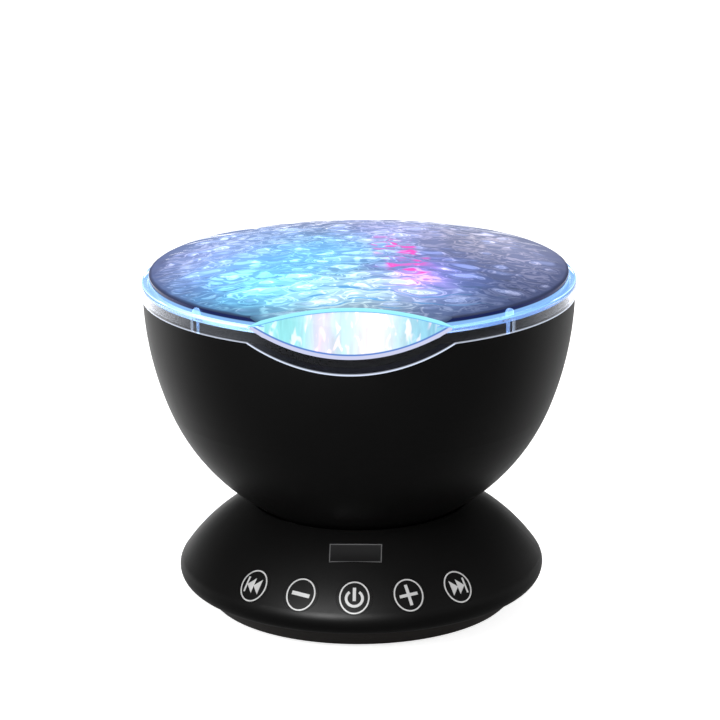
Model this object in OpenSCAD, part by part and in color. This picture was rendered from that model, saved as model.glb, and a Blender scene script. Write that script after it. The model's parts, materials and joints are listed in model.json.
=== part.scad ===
// Ocean wave projector: a tilting bowl with a clear rippled cover on a round base with five keys.
// The origin is on the floor under the middle of the base; the keys face -Y and +Z is up.

/* [Head] */
// Diameter of the clear cover's ring
rim_d = 145; // [130:0.5:160]
// How much smaller the ball-shaped lower part of the bowl is than the ring, in radius
ball_inset = 3.2; // [2.5:0.1:5]
// Height of the bowl's lowest point
bowl_low_z = 25.9; // [25:0.1:30]
// Angle below the pivot's level where the ball runs into the bowl's straighter flare
flare_angle = 22; // [15:1:30]
// How far the cover's ring stands out past the bowl's edge
cover_overhang = 0.3; // [0:0.1:0.8]
// Height of the bowl's edge above the ball's centre
edge_rise = 12.2; // [9:0.1:15]
// Wall of the bowl
bowl_wall = 2.2; // [1.6:0.1:3]
// Furthest the head tilts to the front or back, in degrees
tilt_range = 22.5; // [10:0.5:24]

/* [Cover] */
// Wall of the clear cover
cover_wall = 2; // [1.4:0.1:2.6]
// Height of the cover's skirt between the bowl's edge and the ring
skirt_h = 5.4; // [4:0.1:8]
// Width of the flat ring around the dome
ring_w = 2.5; // [1.5:0.1:4]
// Height of the step from the ring to the dome's edge
step_h = 2.6; // [1.5:0.1:4]
// Rise of the dome above its edge
dome_rise = 7; // [3:0.5:12]
// How far the ring dips at the lip in front
lip_drop = 8.4; // [5:0.1:10]
// Half the width of the lip
lip_half_w = 33; // [24:0.5:40]
// Width of each snap tab
tab_w = 3.2; // [2:0.1:5]

/* [Base] */
// Widest radius of the base
base_edge_r = 62; // [58:0.5:68]
// Height of the widest line
base_edge_z = 12.6; // [11:0.1:14]
// Radius of the rolled edge
roll_r = 5.3; // [4:0.1:6]
// Radius of the arc that the sloping top follows
slope_r = 59; // [55:1:80]
// Radius of the cup's rim under the bowl
neck_r = 37.2; // [36:0.1:39]
// Gap between the bowl and the cup
cup_gap = 0.8; // [0.6:0.1:1.2]
// Wall of the base shell
base_wall = 2.2; // [1.8:0.1:2.6]
// Height of the seam between shell and bottom plate
seam_z = 7.6; // [7.4:0.1:8.6]
// Radius of the bottom plate's underside
plate_r = 51.2; // [49:0.1:53]
// Height of the bottom plate's underside, which the feet stand on
plate_z = 1.2; // [0.8:0.1:1.6]
// Thickness of the bottom plate
plate_t = 2; // [1.6:0.1:2.4]
// Radius of each rubber foot
foot_r = 5; // [3:0.5:6]
// Radius of the circle of feet
foot_circle_r = 42; // [38:0.5:44]

/* [Keys] */
// Angle between neighbouring keys
key_step = 17.7; // [15.5:0.1:18.5]
// Distance of the key row's middle up the slope from the rolled edge
key_up = 5.5; // [4.5:0.1:8]
// Radius of a key cap
key_r = 5.9; // [5.75:0.05:6.2]
// Travel of a key
key_travel = 0.7; // [0.4:0.1:0.9]
// Width of the printed ring
mark_w = 9.9; // [8:0.1:10.6]
// Height of the printed ring, up the slope
mark_h = 11.2; // [9:0.1:11.4]
// Width of the ring's line
mark_line = 0.48; // [0.4:0.02:0.9]
// Distance of the receiver window's middle down the slope from the cup's rim
window_down = 9.5; // [7.5:0.1:12]
// Width of the receiver window
window_w = 17.3; // [12:0.1:20]
// Height of the receiver window
window_h = 7.4; // [6:0.1:8.2]

/* [Wave drive] */
// Gear module of the wave drive
gear_m = 1; // [0.9:0.05:1.05]
// Teeth of the motor pinion
pinion_teeth = 12; // [10:2:14]
// Radius of the clear wave disc
disc_r = 58; // [52:0.5:61]
// Thickness of the wave disc
disc_t = 2.2; // [1.6:0.1:3]
// How far the wave disc's underside lies below the bowl's edge
disc_drop = 7.4; // [5:0.1:9]
// Radius of the disc's spindle
spindle_r = 2.5; // [2:0.1:3.5]
// How far the lamp deck's top face lies below the bowl's edge
deck_drop = 30.9; // [28:0.1:32]
// Radius of the lamp board
lamp_board_r = 34; // [30:0.5:36]
// Gap between the lamp board and the motor can
motor_gap = 6; // [5:0.5:8]
// Least gap between the motor can and the bowl's wall
motor_clear = 0.4; // [0.3:0.1:1]

/* [Sockets and speaker] */
// Radius of the audio jack's bore
jack_bore_r = 1.8; // [1.76:0.02:1.9]
// Depth of the audio jack's bore
jack_depth = 14; // [12:0.5:15]
// Width of the power socket's mouth
power_mouth_w = 7.6; // [6:0.1:9]
// Height of the power socket's mouth
power_mouth_h = 2.8; // [2:0.1:3]
// Radius of the speaker's frame
speaker_r = 24.5; // [18:0.5:25]

/* [Hidden] */
$fn = 64;
fine = 720;
eps = 0.01;
far = 300;
run_gap = 0.05;   // shaft in its bore
slide_gap = 0.1;  // key in its hole
free_gap = 0.3;   // curved faces that pass each other
screw_gap = 0.3;  // screw in a through hole
thread_gap = 0.05; // screw in its threaded hole
QUARTER_ANGLES = [45, 135, 225, 315];

KEYS = ["previous", "minus", "power", "plus", "next"];

// Head: the bowl's flare is an arc tangent to the ball that ends at the bowl's edge
rim_r = rim_d / 2;
ball_r = rim_r - ball_inset;
pivot_z = bowl_low_z + ball_r;
bowl_edge_r = rim_r - cover_overhang;
bowl_edge_z = pivot_z + edge_rise;
disc_z = bowl_edge_z - disc_drop;
deck_z = bowl_edge_z - deck_drop;
ring_z = bowl_edge_z + skirt_h;
flare_start = [ball_r * cos(flare_angle), pivot_z - ball_r * sin(flare_angle)];
flare_normal = [cos(flare_angle), -sin(flare_angle)];
flare_reach = [bowl_edge_r, bowl_edge_z] - flare_start;
flare_r = (flare_reach * flare_reach) / (-2 * (flare_reach * flare_normal));
flare_c = flare_start - flare_r * flare_normal;
function bowl_inner_r(z) = flare_c[0] + sqrt(pow(flare_r - bowl_wall, 2) - pow(z - flare_c[1], 2));

// Cover: the dome is a cap, and the eye is a flat facet through the lip and the two ends of its chord
dome_edge_r = rim_r - ring_w;
dome_r = (pow(dome_edge_r, 2) + pow(dome_rise, 2)) / (2 * dome_rise);
dome_top = ring_z + step_h + dome_rise;
edge_round = 0.8;
lip_chord_y = sqrt(pow(rim_r, 2) - pow(lip_half_w, 2));
facet_angle = atan(lip_drop / (rim_r - lip_chord_y));
tab_t = 1.5;
tab_top = ring_z + step_h - 0.8;
tab_low = bowl_edge_z - 6;
hook_h = 1.6;
hook_depth = 1;
hook_r = bowl_inner_r(tab_low) + hook_depth;
hook_gap = 0.2;
collar_t = 1.8;
collar_r = rim_r - cover_wall - free_gap;
collar_top = ring_z - cover_wall - free_gap;
collar_low = bowl_edge_z - lip_drop - 1.5;
tab_out_r = dome_edge_r - cover_wall + 0.4;

// Base: the slope's arc is tangent to the rolled edge and ends on the cup's rim
cup_r = ball_r + cup_gap;
cup_under_r = cup_r + base_wall;
neck = [neck_r, pivot_z - sqrt(pow(cup_r, 2) - pow(neck_r, 2))];
roll_c = [base_edge_r - roll_r, base_edge_z];
chord = norm(neck - roll_c);
chord_dir = (neck - roll_c) / chord;
along = (pow(chord, 2) + pow(slope_r - roll_r, 2) - pow(slope_r, 2)) / (2 * chord);
across = sqrt(pow(slope_r - roll_r, 2) - pow(along, 2));
slope_c = roll_c + along * chord_dir + across * [-chord_dir[1], chord_dir[0]];
slope_end = (roll_c - slope_c) / norm(roll_c - slope_c);
function slope_turn(point) = atan2(point[1] - slope_c[1], point[0] - slope_c[0]);
function slope_degrees(length) = length / slope_r * 180 / PI;
plate_top_r = roll_c[0] + 1;
floor_z = plate_z + plate_t;
foot_recess = 0.8;
SCREW_ANGLES = [60, 120, 240, 300];
plate_lip = 1.6;
screw_r = 1.4;
screw_head_r = 2.8;
screw_head_h = 1.2;
screw_len = 10;
pillar_r = 3.5;
screw_circle_r = plate_r - plate_lip - pillar_r - 0.2;
plate_rim_w = 2.4;

// Tilt clamp: radii measured from the pivot
post_r = 4;
post_bore_r = 3;
post_flange_r = 10;
post_flange_t = 2;
post_pad_r = 13;
post_pad_t = 4;
slot_w = 2 * post_r + 0.6;
slot_half = (cup_under_r + 0.5) * sin(tilt_range) + post_r * cos(tilt_range) + 0.5;
saddle_in_r = cup_under_r + free_gap;
saddle_t = 2;
saddle_w = 18;
saddle_l = 17;
spring_h = 2.6;
spring_r = 7.5;
spring_t = 0.6;
nut_h = 3;
nut_r = 6.5;
nut_in_r = saddle_in_r + saddle_t + spring_h;
post_end_r = nut_in_r + nut_h + 0.5;
pad_r = 4;
pad_depth = 1;
pad_angle = 25;

// Keys: depths are measured inwards from the slope, along the key's own axis
key_lat = slope_turn(roll_c) + slope_degrees(key_up);
key_point = slope_c + slope_r * [cos(key_lat), sin(key_lat)];
flange_s = base_wall + 0.9;
flange_t = 1;
flange_r = key_r + 0.7;
stem_r = 2;
stem_s = flange_s + flange_t + 0.8;
plunger_r = 1.6;
plunger_seat = 0.6;
switch_s = stem_s + key_travel + free_gap;
plunger_len = switch_s - stem_s + plunger_seat;
switch_w = 6;
switch_h = 3.4;
strip_s = switch_s + switch_h;
strip_t = 1.6;
strip_half = 5;
strip_angle = 50;
strip_post_angle = 46.5;
strip_post_r = 1.6;
mark_depth = 0.7;
stroke_w = 1.04;
stroke_len = 6.2;
mark_lean = 7;
mark_proud = 0.03;

// Receiver window, from the slope inwards
window_lat = slope_turn(neck) - slope_degrees(window_down);
window_point = slope_c + slope_r * [cos(window_lat), sin(window_lat)];
window_sink = 0.4;
window_fit = 0.05;
window_back_s = base_wall + 1.2;
ir_board_s = window_back_s + 4;
ir_board_t = 1.2;
ir_board_w = window_w + 4;
ir_post_r = 1.2;
ir_w = 6;

// Main board
board_in_r = speaker_r + 1.5;
board_r = screw_circle_r - pillar_r - 1;
board_z = floor_z + 5.2;
board_t = 1.6;
board_top = board_z + board_t;
standoff_circle_r = (board_in_r + board_r) / 2 + 3;
standoff_r = 2.5;
STANDOFF_ANGLES = [30, 150, 210, 330];
small_screw_r = 1.1;
small_head_r = 2;
small_head_h = 1;
socket_x = 8.5;
board_tab_half_x = 15;
board_tab_y = sqrt(pow(roll_c[0], 2) - pow(board_tab_half_x, 2)) - 0.5;
power_w = 9;
power_h = 4.2;
power_depth = 10;
power_back_t = 1.5;
power_front_y = sqrt(pow(base_edge_r, 2) - pow(socket_x + power_w / 2, 2)) - 1.2;
jack_w = 7;
jack_h = 5.2;
jack_nose_r = 3;
jack_body_depth = 11;
jack_z = board_top + jack_h / 2;
jack_face_y = sqrt(pow(roll_c[0], 2) - pow(socket_x + jack_w / 2, 2)) - free_gap;
jack_nose_y = sqrt(pow(base_edge_r, 2) - pow(socket_x + jack_nose_r, 2)) - 0.2;

// Speaker, facing down
frame_flange_t = 1.2;
basket_h = 5;
magnet_r = 11.5;
magnet_h = 4.2;
cone_t = 0.6;
grille_step = 7;
grille_hole_r = 1.5;

// Lamp and wave drive
deck_t = 2.5;
deck_r = bowl_inner_r(deck_z - deck_t) - 1.5;
deck_boss_r = 4;
deck_boss_circle_r = deck_r - deck_boss_r - 1;
lamp_standoff_h = 3.5;
lamp_board_z = deck_z + lamp_standoff_h;
lamp_board_top = lamp_board_z + board_t;
LAMP_SCREW_ANGLES = [90, 210, 330];
lamp_screw_circle_r = lamp_board_r - 3.5;
led_r = 2.5;
led_h = 4;
led_circle_r = lamp_board_r / 2;
led_inner_r = 9;
reflector_t = 1.2;
reflector_inset = 8;
reflector_low_r = lamp_board_r - reflector_inset;
reflector_gap = 1.6;
gear_h = 3;
motor_reach = bowl_inner_r(deck_z) - motor_clear;
motor_r = floor(motor_reach - lamp_board_r - motor_gap) / 2;
disc_teeth = 2 * floor((motor_reach - motor_r) / gear_m) - pinion_teeth;
disc_pitch_r = gear_m * disc_teeth / 2;
pinion_pitch_r = gear_m * pinion_teeth / 2;
axle_y = disc_pitch_r + pinion_pitch_r;
gear_ring_w = 7;
reflector_clear = 3;
gear_ring_in_r = disc_pitch_r - gear_ring_w;
reflector_top_r = gear_ring_in_r - reflector_clear;
reflector_top_z = disc_z - gear_h - reflector_gap;
bush_r = 5;
bush_low_z = disc_z - gear_h;
bush_top_z = disc_z + disc_t + 1;
shoulder_r = 4;
shoulder_z = bush_low_z - free_gap;
clip_z = bush_top_z + free_gap;
clip_t = 0.6;
clip_r = 4.5;
groove_r = spindle_r - 0.6;
spindle_top_z = clip_z + clip_t + 1;
shaft_r = 1.5;
motor_h = 11.5;
motor_nose_r = 4;
motor_nose_h = 2;
shaft_seat = 3;
ear_half_x = motor_r + 4.5;
ear_w = 8;
ear_t = 1.2;
pinion_top_z = disc_z - 0.6;
pinion_h = gear_h - 0.8;

// Boxes that keep what is below the facet's plane, and below the bowl's dipped edge
module below_facet(drop) {
    translate([0, -rim_r, ring_z - lip_drop - drop])
        rotate([facet_angle, 0, 0])
            translate([-far, -far, -far]) cube([2 * far, 2 * far, far]);
}

module below_rim() {
    intersection() {
        below_facet(skirt_h);
        translate([-far, -far, bowl_edge_z - far]) cube([2 * far, 2 * far, far]);
    }
}

// Half section of the bowl's outside, moved inwards by inset
module bowl_form(inset) {
    intersection() {
        translate([0, pivot_z]) circle(r = ball_r - inset);
        translate([0, pivot_z - ball_r]) square([ball_r, flare_start[1] - pivot_z + ball_r]);
    }
    intersection() {
        translate(flare_c) circle(r = flare_r - inset);
        translate([0, flare_start[1] - eps]) square([far, far]);
        square([far, bowl_edge_z + 1]);
    }
}

// Half section of the cover's outside, moved inwards by inset
module cover_form(inset) {
    low = bowl_edge_z - lip_drop - 2;
    translate([0, low]) square([rim_r - inset, ring_z - inset - low - edge_round]);
    translate([0, low]) square([rim_r - inset - edge_round, ring_z - inset - low]);
    translate([rim_r - inset - edge_round, ring_z - inset - edge_round]) circle(r = edge_round);
    intersection() {
        translate([0, dome_top - dome_r]) circle(r = dome_r - inset);
        translate([0, low]) square([dome_edge_r - inset, far]);
    }
}

// Half section of the base's outside down to a given height, moved inwards by inset
module base_form(inset, low) {
    difference() {
        intersection() {
            union() {
                intersection() {
                    translate(slope_c) circle(r = slope_r - inset);
                    polygon([slope_c, slope_c + far * slope_end, [far, far], [0, far], [0, slope_c[1]]]);
                }
                translate(roll_c) circle(r = roll_r - inset);
                translate([0, low]) square([roll_c[0], roll_c[1] - low]);
            }
            translate([0, low]) square([far, far]);
        }
        translate([0, pivot_z]) circle(r = cup_r + inset);
    }
}

module round_at(angles, circle_r) {
    for (a = angles) rotate([0, 0, a]) translate([0, -circle_r, 0]) children();
}

// Places a child with +Z along the slope's outward normal and +Y up the slope
module on_slope(azimuth, point, lat) {
    rotate([0, 0, azimuth])
        translate([0, -point[0], point[1]])
            rotate([90 - lat, 0, 0]) children();
}

module at_key(i) {
    on_slope((i - 2) * key_step, key_point, key_lat) children();
}

module at_window() {
    on_slope(0, window_point, window_lat) children();
}

module pan_screw(r, head_r, head_h, length) {
    cylinder(r = head_r, h = head_h);
    translate([0, 0, -length]) cylinder(r = r, h = length + eps);
}

// Base body
module shell_pillars() {
    intersection() {
        rotate_extrude() base_form(base_wall / 2, floor_z);
        round_at(SCREW_ANGLES, screw_circle_r) translate([0, 0, floor_z]) cylinder(r = pillar_r, h = far);
    }
}

module strip_posts() {
    for (side = [-1, 1])
        on_slope(side * strip_post_angle, key_point, key_lat)
            translate([0, 0, -strip_s - strip_t - 0.6])
                cylinder(r = strip_post_r, h = strip_s + strip_t + 0.6 - base_wall / 2);
}

module window_posts() {
    at_window()
        for (side = [-1, 1])
            translate([side * (ir_board_w / 2 - 1), 0, -ir_board_s - ir_board_t - 0.6])
                cylinder(r = ir_post_r, h = ir_board_s + ir_board_t + 0.6 - base_wall / 2);
}

module base_shell() {
    color([0.05, 0.05, 0.05])
    difference() {
        union() {
            rotate_extrude() difference() {
                base_form(0, seam_z);
                base_form(base_wall, seam_z - 1);
            }
            shell_pillars();
            strip_posts();
            window_posts();
        }
        for (i = [0 : len(KEYS) - 1])
            at_key(i) translate([0, 0, -base_wall - 2]) cylinder(r = key_r + slide_gap, h = base_wall + 4);
        at_window() translate([-window_w / 2, -window_h / 2, -base_wall - 2])
            cube([window_w, window_h, base_wall + 4]);
        for (end = [-1, 1])
            translate([0, end * (slot_half - slot_w / 2), 0]) cylinder(r = slot_w / 2, h = pivot_z);
        translate([-slot_w / 2, -slot_half + slot_w / 2, 0]) cube([slot_w, 2 * slot_half - slot_w, pivot_z]);
        round_at(QUARTER_ANGLES, 0) translate([0, 0, pivot_z]) rotate([-pad_angle, 0, 0])
            translate([0, 0, -cup_r - pad_depth]) cylinder(r = pad_r + run_gap, h = 3);
        round_at(SCREW_ANGLES, screw_circle_r) translate([0, 0, floor_z - 1])
            cylinder(r = screw_r + thread_gap, h = screw_len + 1);
        translate([-socket_x - power_w / 2 - free_gap, board_tab_y, board_top - free_gap])
            cube([power_w + 2 * free_gap, far, power_h + 2 * free_gap]);
        translate([socket_x, board_tab_y, jack_z]) rotate([-90, 0, 0])
            cylinder(r = jack_nose_r + free_gap, h = far);
    }
}

module base_plate() {
    color([0.13, 0.11, 0.10])
    difference() {
        union() {
            rotate_extrude() polygon([[0, plate_z], [plate_r, plate_z], [plate_top_r, seam_z],
                [plate_top_r - plate_rim_w, seam_z], [plate_r - plate_lip, floor_z], [0, floor_z]]);
            round_at(STANDOFF_ANGLES, standoff_circle_r) translate([0, 0, floor_z - eps])
                cylinder(r = standoff_r, h = board_z - floor_z + eps);
        }
        round_at(QUARTER_ANGLES, foot_circle_r) translate([0, 0, -eps])
            cylinder(r = foot_r + run_gap, h = plate_z + foot_recess + eps);
        round_at(SCREW_ANGLES, screw_circle_r) {
            translate([0, 0, -eps]) cylinder(r = screw_head_r + 0.2, h = plate_z + screw_head_h + eps);
            cylinder(r = screw_r + screw_gap, h = far);
        }
        round_at(STANDOFF_ANGLES, standoff_circle_r) translate([0, 0, floor_z])
            cylinder(r = small_screw_r + thread_gap, h = far);
        cylinder(r = grille_hole_r, h = far);
        for (ring = [1, 2], k = [1 : 6 * ring])
            rotate([0, 0, k * 60 / ring]) translate([ring * grille_step, 0, 0])
                cylinder(r = grille_hole_r, h = far);
    }
}

module rubber_feet() {
    color([0.08, 0.08, 0.08])
    round_at(QUARTER_ANGLES, foot_circle_r) rotate_extrude() {
        square([foot_r - 0.5, plate_z + foot_recess]);
        translate([0, 0.5]) square([foot_r, plate_z + foot_recess - 0.5]);
        translate([foot_r - 0.5, 0.5]) circle(r = 0.5);
    }
}

module base_screws() {
    color("silver")
    round_at(SCREW_ANGLES, screw_circle_r) translate([0, 0, plate_z + screw_head_h]) mirror([0, 0, 1]) {
        difference() {
            cylinder(r = screw_head_r, h = screw_head_h - 0.2);
            translate([-2 * screw_head_r, -0.4, screw_head_h - 0.8]) cube([4 * screw_head_r, 0.8, 1]);
        }
        translate([0, 0, -screw_len + 2]) cylinder(r = screw_r, h = screw_len - 2 + eps);
    }
}

module glide_pads() {
    color([0.15, 0.15, 0.15])
    difference() {
        round_at(QUARTER_ANGLES, 0) translate([0, 0, pivot_z]) rotate([-pad_angle, 0, 0])
            translate([0, 0, -cup_r - pad_depth]) cylinder(r = pad_r, h = pad_depth + 3);
        translate([0, 0, pivot_z]) sphere(r = ball_r + free_gap, $fn = fine);
    }
}

module ir_window() {
    color([0.5, 0.5, 0.52, 0.5])
    at_window() {
        translate([-window_w / 2 + window_fit, -window_h / 2 + window_fit, -window_back_s])
            cube([window_w - 2 * window_fit, window_h - 2 * window_fit, window_back_s - window_sink]);
        translate([-window_w / 2 + 1, -window_h / 2 + 1, -window_back_s - 1])
            cube([window_w - 2, window_h - 2, 1 + eps]);
    }
}

module ir_board() {
    color([0.1, 0.3, 0.15])
    at_window() difference() {
        translate([-ir_board_w / 2 - 1, -window_h / 2, -ir_board_s - ir_board_t])
            cube([ir_board_w + 2, window_h, ir_board_t]);
        for (side = [-1, 1])
            translate([side * (ir_board_w / 2 - 1), 0, -ir_board_s - 2])
                cylinder(r = ir_post_r + run_gap, h = 4);
    }
}

module ir_receiver() {
    color([0.12, 0.12, 0.12])
    at_window() {
        translate([-ir_w / 2, -window_h / 2 + 0.8, -ir_board_s]) cube([ir_w, window_h - 1.6, 1.6]);
        intersection() {
            translate([0, 0, -ir_board_s + 0.6]) sphere(r = 2);
            translate([-ir_w, -ir_w, -ir_board_s + 0.6]) cube(2 * ir_w);
        }
    }
}

module main_board() {
    color([0.1, 0.35, 0.18])
    translate([0, 0, board_z]) difference() {
        union() {
            cylinder(r = board_r, h = board_t);
            translate([-board_tab_half_x, 0, 0]) cube([2 * board_tab_half_x, board_tab_y, board_t]);
        }
        translate([0, 0, -1]) cylinder(r = board_in_r, h = board_t + 2);
        round_at(STANDOFF_ANGLES, standoff_circle_r) translate([0, 0, -1])
            cylinder(r = small_screw_r + screw_gap, h = board_t + 2);
    }
}

module board_screws() {
    color("silver")
    round_at(STANDOFF_ANGLES, standoff_circle_r) translate([0, 0, board_top])
        pan_screw(small_screw_r, small_head_r, small_head_h, board_t + 3);
}

module control_chips() {
    color([0.1, 0.1, 0.1])
    for (side = [-1, 1])
        translate([side * (board_in_r + board_r) / 2 - 3.5, -5, board_top]) cube([7, 10, 1.8]);
}

module capacitors() {
    color([0.2, 0.25, 0.4])
    for (a = [65, 115])
        rotate([0, 0, a]) translate([0, -(board_in_r + board_r) / 2, board_top]) cylinder(r = 2.5, h = 4.5);
}

module power_socket() {
    color("silver")
    translate([-socket_x, power_front_y - power_depth, board_top]) difference() {
        translate([-power_w / 2, 0, 0]) cube([power_w, power_depth, power_h]);
        translate([-power_mouth_w / 2, power_back_t, (power_h - power_mouth_h) / 2])
            cube([power_mouth_w, power_depth, power_mouth_h]);
    }
}

module audio_jack() {
    color([0.08, 0.08, 0.08])
    translate([socket_x, jack_face_y, jack_z]) difference() {
        union() {
            translate([-jack_w / 2, -jack_body_depth, -jack_h / 2]) cube([jack_w, jack_body_depth, jack_h]);
            rotate([-90, 0, 0]) cylinder(r = jack_nose_r, h = jack_nose_y - jack_face_y);
        }
        translate([0, jack_nose_y - jack_face_y - jack_depth, 0]) rotate([-90, 0, 0])
            cylinder(r = jack_bore_r, h = jack_depth + 1);
    }
}

module speaker_frame() {
    color([0.2, 0.2, 0.22])
    translate([0, 0, floor_z]) rotate_extrude()
        polygon([[speaker_r - 3, 0], [speaker_r, 0], [speaker_r, frame_flange_t],
            [speaker_r - 2, frame_flange_t], [magnet_r, basket_h], [0, basket_h], [0, basket_h - 1],
            [magnet_r - 0.6, basket_h - 1], [speaker_r - 3, frame_flange_t - 0.2]]);
}

module speaker_cone() {
    top = basket_h - 1.1;
    outer_r = speaker_r - 3.1;
    color([0.1, 0.1, 0.1])
    translate([0, 0, floor_z]) rotate_extrude()
        polygon([[0, top - cone_t], [4, top - cone_t], [magnet_r - 2, 2], [outer_r - 1.5, 0.4], [outer_r, 0.4],
            [outer_r, 0.4 + cone_t], [outer_r - 1.5, 0.4 + cone_t], [magnet_r - 2, 2 + cone_t], [4, top], [0, top]]);
}

module speaker_magnet() {
    color([0.35, 0.35, 0.36])
    translate([0, 0, floor_z + basket_h]) cylinder(r = magnet_r, h = magnet_h);
}

// The strip's section is a flat bar square to the key axes, turned about the base's axis
module switch_strip() {
    color([0.1, 0.35, 0.18])
    difference() {
        rotate([0, 0, -90 - strip_angle]) rotate_extrude(angle = 2 * strip_angle)
            translate(key_point) rotate(key_lat)
                translate([-strip_s - run_gap - strip_t, -strip_half]) square([strip_t, 2 * strip_half]);
        for (side = [-1, 1])
            on_slope(side * strip_post_angle, key_point, key_lat)
                translate([0, 0, -strip_s - strip_t - 2]) cylinder(r = strip_post_r + run_gap, h = strip_t + 4);
    }
}

module tact_switches() {
    color([0.12, 0.12, 0.12])
    for (i = [0 : len(KEYS) - 1])
        at_key(i) translate([0, 0, -strip_s]) difference() {
            translate([-switch_w / 2, -switch_w / 2, 0]) cube([switch_w, switch_w, switch_h]);
            translate([0, 0, switch_h - plunger_seat - key_travel - free_gap])
                cylinder(r = plunger_r + slide_gap, h = switch_h);
        }
}

// Keys: a flush cap, its printed mark and the switch plunger under it
module ellipse_outline(w, h) {
    steps = 48;
    polygon([for (k = [0 : steps - 1]) [w / 2 * cos(360 * k / steps), h / 2 * sin(360 * k / steps)]]);
}

// A bar and two arrow heads, each lapped a little over the last
module skip_mark(turn) {
    half_h = 2.65;
    head_w = 2.65;
    bar_w = 0.65;
    lap = 0.1;
    mirror([turn, 0, 0]) translate([-bar_w - head_w + 1.5 * lap, 0]) {
        translate([0, -half_h]) square([bar_w, 2 * half_h]);
        for (k = [0, 1]) translate([bar_w - lap + k * (head_w - lap), 0])
            polygon([[0, 0], [head_w, -half_h], [head_w, half_h]]);
    }
}

module power_mark() {
    arc_r = 3.1;
    arc_w = 0.9;
    drop = 0.3;
    translate([0, -drop]) {
        difference() {
            circle(r = arc_r);
            circle(r = arc_r - arc_w);
            polygon([[0, 0], [-arc_r, 1.4 * arc_r], [arc_r, 1.4 * arc_r]]);
        }
        translate([-stroke_w / 2, -0.9]) square([stroke_w, 4.6]);
    }
}

module key_mark(i) {
    difference() {
        ellipse_outline(mark_w, mark_h);
        ellipse_outline(mark_w - 2 * mark_line, mark_h - 2 * mark_line);
    }
    if (KEYS[i] == "previous") skip_mark(0);
    if (KEYS[i] == "minus") rotate(-mark_lean) square([stroke_len, 1.3], center = true);
    if (KEYS[i] == "power") power_mark();
    if (KEYS[i] == "plus") rotate(mark_lean) {
        square([stroke_len, stroke_w], center = true);
        square([stroke_w, 7.2], center = true);
    }
    if (KEYS[i] == "next") skip_mark(1);
}

module key_cap(i) {
    color([0.05, 0.05, 0.05])
    difference() {
        union() {
            intersection() {
                rotate_extrude($fn = fine) base_form(0, seam_z);
                at_key(i) translate([0, 0, -flange_s - eps]) cylinder(r = key_r, h = far);
            }
            at_key(i) translate([0, 0, -flange_s - flange_t]) cylinder(r = flange_r, h = flange_t);
            at_key(i) translate([0, 0, -stem_s]) cylinder(r = stem_r, h = stem_s - flange_s);
        }
        at_key(i) translate([0, 0, -mark_depth]) linear_extrude(2 * mark_depth) key_mark(i);
    }
}

module key_icon(i) {
    color("white")
    intersection() {
        rotate_extrude($fn = fine) base_form(-mark_proud, seam_z);
        at_key(i) translate([0, 0, -mark_depth]) linear_extrude(2 * mark_depth) key_mark(i);
    }
}

module key_plunger(i) {
    color([0.75, 0.75, 0.72])
    at_key(i) translate([0, 0, -stem_s - plunger_len]) cylinder(r = plunger_r, h = plunger_len);
}

// Head body. The collar stands behind the cover's skirt and dips at the lip as the cover does
module bowl_collar() {
    intersection() {
        rotate_extrude() translate([collar_r - collar_t, collar_low]) square([collar_t, collar_top - collar_low]);
        below_facet(cover_wall / cos(facet_angle) + free_gap);
    }
}

module bowl() {
    color([0.04, 0.04, 0.04])
    difference() {
        union() {
            intersection() {
                rotate_extrude() difference() {
                    bowl_form(0);
                    bowl_form(bowl_wall);
                }
                below_rim();
            }
            intersection() {
                rotate_extrude() bowl_form(bowl_wall / 2);
                union() {
                    cylinder(r = post_pad_r, h = pivot_z - ball_r + bowl_wall + post_pad_t);
                    round_at(QUARTER_ANGLES, deck_boss_circle_r) cylinder(r = deck_boss_r, h = deck_z - deck_t);
                }
            }
            bowl_collar();
        }
        cylinder(r = post_r + run_gap, h = pivot_z);
        round_at(QUARTER_ANGLES, deck_boss_circle_r) translate([0, 0, deck_z - deck_t - screw_len])
            cylinder(r = screw_r + thread_gap, h = screw_len + 1);
        round_at(QUARTER_ANGLES, 0) translate([-tab_w / 2 - hook_gap, -hook_r - hook_gap, tab_low - hook_gap])
            cube([tab_w + 2 * hook_gap, hook_depth + bowl_wall, hook_h + 2 * hook_gap]);
        round_at(QUARTER_ANGLES, 0) translate([-tab_w / 2 - hook_gap, -collar_r - hook_gap, tab_low - hook_gap])
            cube([tab_w + 2 * hook_gap, collar_t + 2 * hook_gap, far]);
    }
}

module snap_tabs() {
    round_at(QUARTER_ANGLES, 0) {
        translate([-tab_w / 2, -tab_out_r, tab_low]) cube([tab_w, tab_t, tab_top - tab_w / 2 - tab_low]);
        translate([0, -tab_out_r, tab_top - tab_w / 2]) rotate([-90, 0, 0]) cylinder(r = tab_w / 2, h = tab_t);
        translate([-tab_w / 2, -hook_r, tab_low]) cube([tab_w, hook_r - tab_out_r + eps, hook_h]);
        translate([-tab_w / 2, -rim_r + cover_wall / 2, bowl_edge_z + 0.4])
            cube([tab_w, rim_r - cover_wall / 2 - tab_out_r + eps, skirt_h - 1]);
    }
}

module wave_cover() {
    color([0.7, 0.85, 1, 0.4])
    union() {
        difference() {
            intersection() {
                rotate_extrude() cover_form(0);
                below_facet(0);
            }
            intersection() {
                rotate_extrude() cover_form(cover_wall);
                below_facet(cover_wall / cos(facet_angle));
            }
            below_rim();
        }
        snap_tabs();
    }
}

module pivot_post() {
    color("silver")
    translate([0, 0, pivot_z]) mirror([0, 0, 1]) difference() {
        flange_top = ball_r - bowl_wall - post_pad_t;
        union() {
            translate([0, 0, flange_top - post_flange_t]) cylinder(r = post_flange_r, h = post_flange_t);
            translate([0, 0, flange_top - eps]) cylinder(r = post_r, h = post_end_r - flange_top);
        }
        cylinder(r = post_bore_r, h = far);
    }
}

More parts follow.
